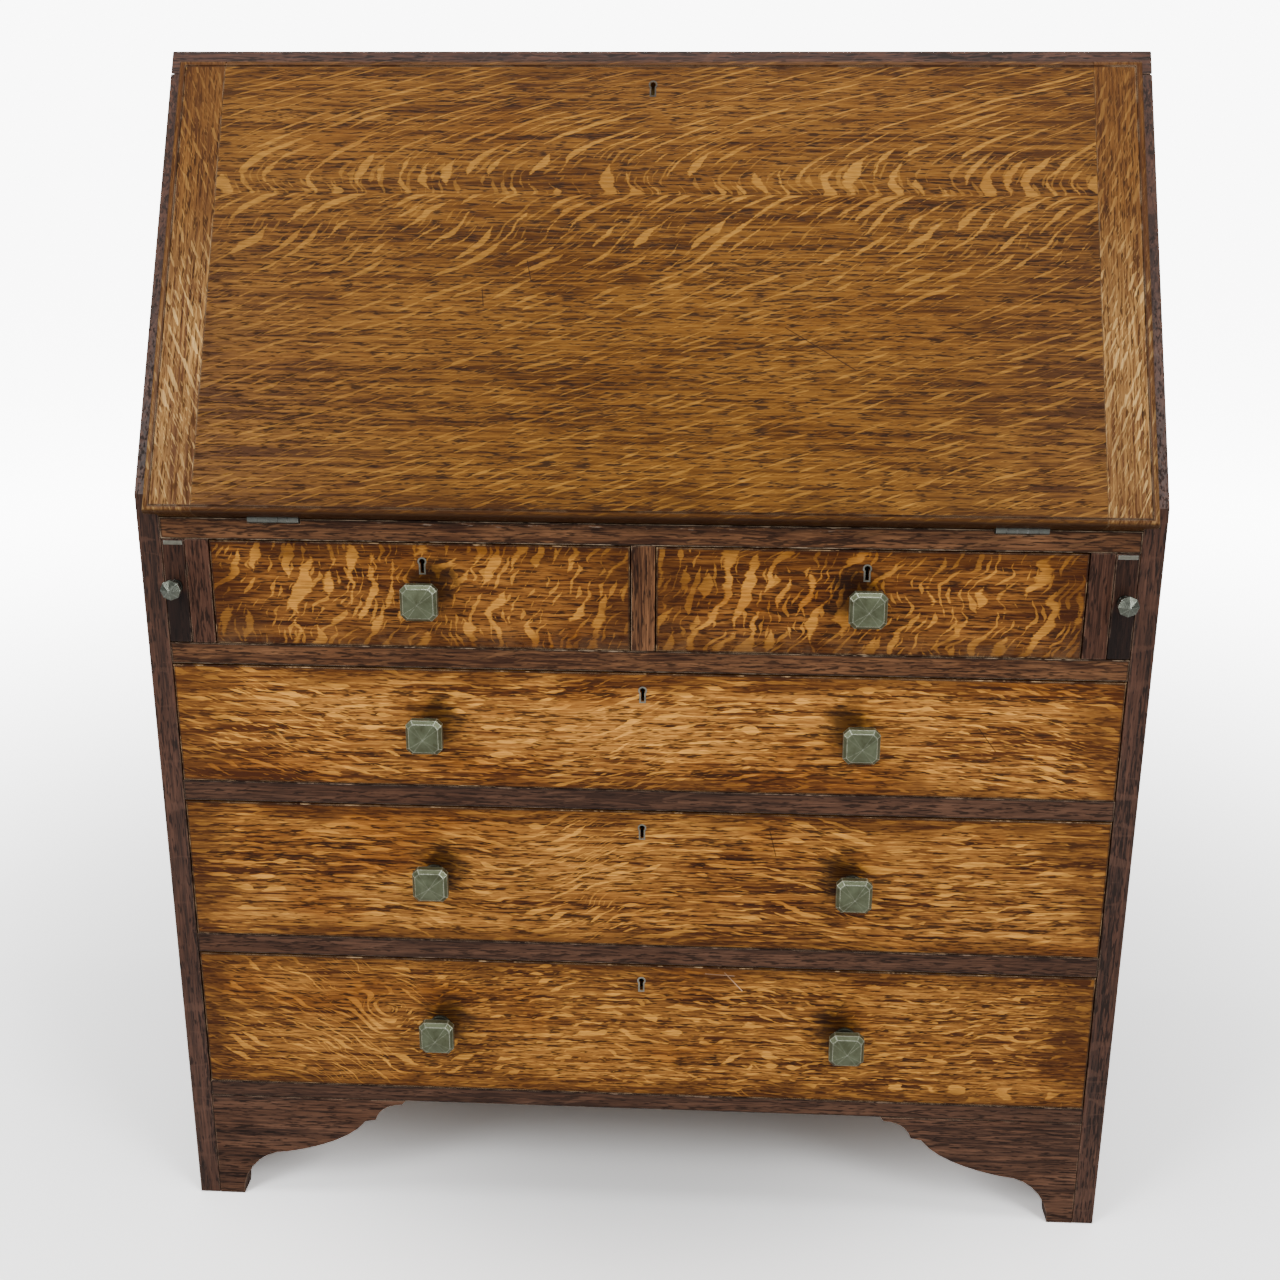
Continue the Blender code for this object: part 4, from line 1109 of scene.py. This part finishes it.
def pointed_head(name, box_low, box_high):
    """Small knob: turned collar and neck, and an eight-sided button that ends in a point."""
    radius = (box_high.x - box_low.x) / 2
    reach = box_high.y - box_low.y
    middle, band = -reach * 0.66, reach * 0.16         # of the button
    slope, peak, undercut = reach * 0.11, reach * 0.145, reach * 0.12
    head = rod(name, radius, band, (0.0, middle, 0.0), (pi / 2, 0.0, 0.0), 8)
    pick(head, "faces", lambda face: face.normal.y < -0.9)
    bpy.ops.mesh.extrude_region_move(TRANSFORM_OT_translate={"value": (0.0, -slope, 0.0)})
    bpy.ops.transform.resize(value=(0.66, 1.0, 0.66))
    bpy.ops.mesh.poke(offset=peak)
    done(head)
    pick(head, "faces", lambda face: face.normal.y > 0.9)
    bpy.ops.mesh.extrude_region_move(TRANSFORM_OT_translate={"value": (0.0, undercut, 0.0)})
    bpy.ops.transform.resize(value=(0.55, 1.0, 0.55))
    done(head)
    soften(head, 0.00025, 1)
    collar, neck = reach * 0.12, reach * 0.45
    shank = rod("shank", radius * 0.66, collar, (0.0, -collar / 2, 0.0), (pi / 2, 0.0, 0.0), 24)
    pick(shank, "faces", lambda face: face.normal.y < -0.9)
    bpy.ops.mesh.inset(thickness=radius * 0.22, depth=0.0004)
    bpy.ops.mesh.extrude_region_move(TRANSFORM_OT_translate={"value": (0.0, -neck, 0.0)})
    done(shank)
    soften(shank, 0.0003, 2)
    return smooth(cut(head, shank, "UNION"), 14)


def build_knobs(bronze, dark_bronze):
    """One square and one pointed knob, copied to every front and loper."""
    pattern = square_head("square_knob_pattern", *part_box("top_drawer_knob_left"))
    pointed = pointed_head("pointed_knob_pattern", *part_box("loper_left_knob"))
    for node in sorted(NODES):
        if "knob" not in node or "inner" in node:
            continue
        low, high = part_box(node)
        centre = (low + high) / 2
        model = pointed if node.startswith("loper") else pattern
        name = node.replace("knob", "cast_knob")
        place = Matrix.Translation((centre.x, high.y, centre.z))
        knob = copy_at(model, name, place)
        fit(knob, BODY_OF[node], dark_bronze if model is pointed else bronze, (node,))
    for model in (pattern, pointed):
        bpy.data.objects.remove(model)


# ---------------------------------------------------------------- carcase

def rail_chips(bench, grain, color):
    """Old chips and rubbed finish on the top edge of the rail, where the fall has struck it."""
    x, y, _ = bench.split(grain)
    from_middle = bench.off(bench.plus(x, 0.03))
    middle = bench.range(from_middle, 0.14, 0.24, 1.0, 0.0, smooth=True)
    high = bench.range(y, 0.0025, 0.0085, smooth=True)
    chips = bench.noise(bench.stretch(grain, (55.0, 260.0, 60.0)), 4.0, 0.7)
    zone = bench.times(middle, high)
    dark = bench.times(bench.range(chips, 0.56, 0.50, smooth=True), zone)
    color = bench.coat(color, CHIP_DARK, dark, 0.8)
    pale = bench.times(bench.range(chips, 0.60, 0.64, smooth=True), zone)
    return bench.coat(color, CHIP_PALE, pale, 0.85)


def loper_lower_darkening(bench, grain, color):
    """The lower half of a loper's end is nearly black."""
    x = bench.split(grain)[0]
    ragged = bench.noise(bench.stretch(grain, (60.0, 60.0, 60.0)), 2.0)
    edge = bench.stir(x, ragged, 0.016)
    dark = bench.range(edge, 0.002, -0.004, 0.25, 0.85, smooth=True)
    return bench.coat(color, LOPER_BLACK, dark)


SCREW_PROUD = 0.0002
OVER = Matrix.Rotation(pi, 4, "X")


def screw_head(place, turn, slot_turn):
    """Countersunk wood screw, seen from its own +Z: a low flat head with a slot."""
    head = rod("screw", 0.0031, 0.0006, (0.0, 0.0, 0.0), (0.0, 0.0, slot_turn), 20)
    slot = block("slot", (-0.0040, -0.0004, -0.0001), (0.0040, 0.0004, 0.001))
    cut(head, slot)
    head.data.transform(Matrix.Translation(place) @ turn)
    return head


def leaf_screws(name, low, high, level, turn, slot_turn):
    """Three screws across a hinge leaf, the middle one nearer its far edge."""
    heads = []
    for index, share in enumerate((0.18, 0.5, 0.82)):
        set_in = 0.009 if index == 1 else 0.014
        place = Vector((low.x + (high.x - low.x) * share, high.y - set_in, level))
        heads.append(screw_head(place, turn, slot_turn + index))
    return join(heads, name)


def build_screws(iron, brass):
    """Three screws in each hinge leaf and four in the fall's lock."""
    for label, _ in SIDES:
        low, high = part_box("bed_hinge_leaf_" + label)
        upright = Matrix.Identity(4)
        group = leaf_screws("bed_hinge_screws_" + label, low, high, PIVOT.z - SCREW_PROUD, upright, 0.5)
        fit(group, "carcase", iron)
        low, high = in_fall("fall_hinge_leaf_" + label)
        group = leaf_screws("fall_hinge_screws_" + label, low, high, SCREW_PROUD, OVER, 0.2)
        group.data.transform(FALL)
        fit(group, "fall", iron)
    low, high = in_fall("fall_lock")
    heads = []
    for column in (0.16, 0.84):
        for row in (0.22, 0.70):
            place = Vector((-0.028 + 0.056 * column, low.y + (high.y - low.y) * row, SCREW_PROUD))
            heads.append(screw_head(place, OVER, column + 2 * row))
    group = join(heads, "fall_lock_screws")
    group.data.transform(FALL)
    fit(group, "fall", brass)


def build_drawer_locks(iron):
    """Plate lock on the back of each drawer front, over its keyhole."""
    plate_half, plate_height, plate_front, plate_back = 0.027, 0.030, 0.0002, 0.0016
    case_half, case_inset, case_depth = 0.018, 0.003, 0.007
    for drawer in DRAWERS:
        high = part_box(drawer + "_front")[1]
        hole_low, hole_high = keyhole_box(drawer + "_front")
        middle = (hole_low.x + hole_high.x) / 2
        top = high.z - 0.0015
        plate = block(drawer + "_lock", (middle - plate_half, high.y + plate_front, top - plate_height),
                      (middle + plate_half, high.y + plate_back, top))
        soften(plate, 0.0005, 1)
        case = block("case", (middle - case_half, high.y + 0.0010, top - plate_height + case_inset),
                     (middle + case_half, high.y + case_depth, top - case_inset))
        soften(case, 0.0012, 2)
        cut(plate, case, "UNION")
        for column in (-0.0225, 0.0225):
            for row in (0.006, 0.024):
                pin = rod("pin", 0.0022, 0.0008, (middle + column, high.y + 0.0018, top - row),
                          (pi / 2, 0.0, 0.0), 16)
                cut(plate, pin, "UNION")
        fit(smooth(plate, 35), BODY_OF[drawer + "_front"], iron)


def build_loper_highlight_strips(metal_strip):
    """Thin pale metal strip let into the top of each loper's end, a painted highlight that stands in for the light
    along its top.
    """
    for label, _ in SIDES:
        low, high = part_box("loper_" + label)
        # Painted highlight: a pale strip along the loper's top.
        highlight_strip = block(f"loper_{label}_strip", (low.x + 0.0016, low.y - 0.0003, high.z - 0.0052),
                      (high.x - 0.0016, low.y + 0.0015, high.z - 0.0014))
        soften(highlight_strip, 0.0003, 1)
        fit(highlight_strip, BODY_OF["loper_" + label], metal_strip)


BACKBOARD_GAINS = (0.92, 1.10, 0.84, 1.0, 0.88, 1.06)     # how pale each board is


def build_backboards(nail_iron):
    """Upright boards nailed across the back, their edges eased so that each joint shows."""
    low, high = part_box("back_panel")
    side_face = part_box("side_left")[1].x
    low.x, high.x, high.z = side_face, -side_face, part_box("top_board")[0].z
    width = (high.x - low.x) / len(BACKBOARD_GAINS)
    rays = leaning_rays(2.5, 0.04, 0.014, 0.04, 0.57)
    for index, gain in enumerate(BACKBOARD_GAINS):
        name = f"backboard_{index + 1}"
        left = low.x + index * width
        board = block(name, (left, low.y, low.z), (left + width, high.y, high.z))
        bevel_edges(board, lambda part: abs(part.verts[0].co.z - part.verts[1].co.z) > 0.01, 0.0022, 2)
        finish = oak(name + "_oak", middle_of("back_panel"), UPRIGHT_FACE, lighter(LINING, gain),
                     200.0 + 3.1 * index, rays, shine=0.65, stained=0.6)
        fit(board, "carcase", finish, ("back_panel",) if index == 0 else ())
        nails = []
        for height in (low.z + 0.012, low.z + 0.32, low.z + 0.63, high.z - 0.012):
            nails.append(rod("nail", 0.0022, 0.0008, (left + width / 2, high.y - 0.00035, height),
                             (pi / 2, 0.0, 0.0), 12))
        fit(join(nails, f"backboard_nails_{index + 1}"), "carcase", nail_iron)


def build_glue_lines():
    """Old glue in the joint between each side and the top, set back from the faces."""
    top_low, top_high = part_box("top_board")
    lap, outer_set, inner_set, front_set, back_set = 0.0001, 0.0015, 0.0005, 0.005, 0.002
    finish = oak("glue_line", (0.0, 0.0, 0.0), LYING, SHADY, 260.0)
    for label, _ in SIDES:
        side_low, side_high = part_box("side_" + label)
        line = block("top_glue_line_" + label,
                     (side_low.x + outer_set, top_low.y + front_set, side_high.z - lap),
                     (side_high.x - inner_set, top_high.y - back_set, top_low.z + lap))
        fit(line, "carcase", finish)


RAIL_TONES = {"upper_rail": WARM, "middle_rail": DARK, "lower_rail": DARK, "bottom_rail": DARK,
              "hinge_rail": WARM}


def paint_rails():
    """The rails between the drawers, and the chipped one under the fall."""
    rays = leaning_rays(3.0, 0.04, 0.010, 0.04, 0.56)
    for index, (node, tones) in enumerate(RAIL_TONES.items()):
        low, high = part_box(node)
        centre = Vector((0.0, FRONT, (low.z + high.z) / 2))
        half = (high.x, (high.z - low.z) / 2)
        marks = rail_chips if node == "hinge_rail" else None
        repaint_oak(node, LEVEL_FACE, tones, 40.0 + 2.3 * index, rays, half, 0.0008, centre,
                    reach=0.05, grime=0.3, fleck_share=0.6, extra=marks)


def paint_carcase():
    """Sides, top, dividers, brackets and lopers, shaded by old polish."""
    case_rays = leaning_rays(2.2, 0.036, 0.016, 0.06, 0.52)
    for index, (label, side) in enumerate(SIDES):
        repaint_oak("side_" + label, UPRIGHT_EDGE, SHADY, 60.0 + 5.1 * index, case_rays,
                    round_off=0.0009, fleck_share=0.6, specular=0.26)
        repaint_oak("loper_divider_" + label, UPRIGHT_EDGE, SHADY, 70.0 + side, round_off=0.0009)
        repaint_oak("bracket_" + label, LEVEL_FACE, DARK, 80.0 + side, round_off=0.0009)
        repaint_oak("loper_" + label, UPRIGHT_EDGE, SHADY, 90.0 + side, round_off=0.0017,
                    extra=loper_lower_darkening)
    repaint_oak("drawer_divider", UPRIGHT_EDGE, WARM, 75.0, round_off=0.0008)
    repaint_oak("top_board", LYING, SHADY, 95.0, case_rays, round_off=0.0012, fleck_share=0.6,
                specular=0.26)


def paint_inside(iron, brass):
    """Gallery, writing bed and small drawers behind the fall, with the hinges and the lock."""
    repaint_oak("pigeonhole_gallery", UPRIGHT_EDGE, INSIDE, 97.0, round_off=0.0006)
    for label, side in SIDES:
        drawer = label + "_inner_drawer"
        repaint_oak(drawer, LEVEL_FACE, INSIDE, 98.0 + side, leaning_rays(1.5, 0.030, 0.016, 0.04, 0.53),
                    round_off=0.0007)
        repaint(drawer + "_knob", brass)
        repaint("bed_hinge_leaf_" + label, iron)
        repaint("fall_hinge_leaf_" + label, iron)
    repaint("fall_lock", brass)
    repaint_oak("writing_bed", LYING, INSIDE, 101.0, leaning_rays(1.5, 0.032, 0.018, 0.04, 0.55),
                round_off=0.0005)


def paint_linings():
    """Dust boards, the bottom of the case, and the drawers behind their fronts."""
    for index, node in enumerate(("upper_dust_board", "middle_dust_board", "lower_dust_board", "base_board")):
        repaint_oak(node, LYING, LINING, 110.0 + 3 * index, shine=0.65)
    for index, drawer in enumerate(DRAWERS):
        repaint_oak(drawer + "_frame", INWARD, LINING, 130.0 + 3 * index, round_off=0.0005, shine=0.6)
        repaint_oak(drawer + "_bottom", LYING, LINING, 150.0 + 3 * index, shine=0.65)


# ---------------------------------------------------------------- the desk

def build_desk():
    """Metals first, then the moving front from the top down, then the case and its fittings."""
    bronze = metal("verdigris_bronze", (0.070, 0.074, 0.034), (0.150, 0.172, 0.100), (0.52, 0.55, 0.42),
                   size=0.011, roughness=0.30, metallic=0.6, seed=1.0, bluntest=0.972, even=0.13,
                   edge_width=0.0013, shaded_from=FRONT - 0.015)
    dark_bronze = metal("dark_bronze", (0.060, 0.066, 0.050), (0.170, 0.185, 0.150), (0.46, 0.49, 0.43),
                        size=0.006, roughness=0.20, metallic=0.85, seed=5.0, bluntest=0.95, even=0.10,
                        edge_width=0.0008, shaded_from=FRONT - 0.010)
    iron = metal("old_iron", (0.115, 0.120, 0.110), (0.190, 0.200, 0.175), (0.40, 0.40, 0.37),
                 size=0.008, roughness=0.42, metallic=0.8, seed=2.0)
    brass = metal("tarnished_brass", (0.42, 0.27, 0.085), (0.24, 0.150, 0.050), (0.75, 0.56, 0.25),
                  size=0.009, roughness=0.32, metallic=0.95, seed=3.0)
    thread = metal("escutcheon_thread", (0.17, 0.165, 0.13), (0.26, 0.255, 0.21), (0.50, 0.50, 0.44),
                   size=0.004, roughness=0.40, metallic=0.85, seed=4.0)
    dark_thread = metal("fall_escutcheon_thread", (0.050, 0.042, 0.032), (0.085, 0.072, 0.055),
                        (0.30, 0.27, 0.22), size=0.004, roughness=0.45, metallic=0.8, seed=6.0,
                        edge_amount=0.4)
    build_fall(dark_thread)
    build_fronts(thread)
    build_knobs(bronze, dark_bronze)
    paint_rails()
    paint_carcase()
    paint_inside(iron, brass)
    paint_linings()
    build_screws(iron, brass)
    build_drawer_locks(iron)
    build_loper_highlight_strips(thread)
    build_glue_lines()
    build_backboards(iron)


set_stage()
build_desk()
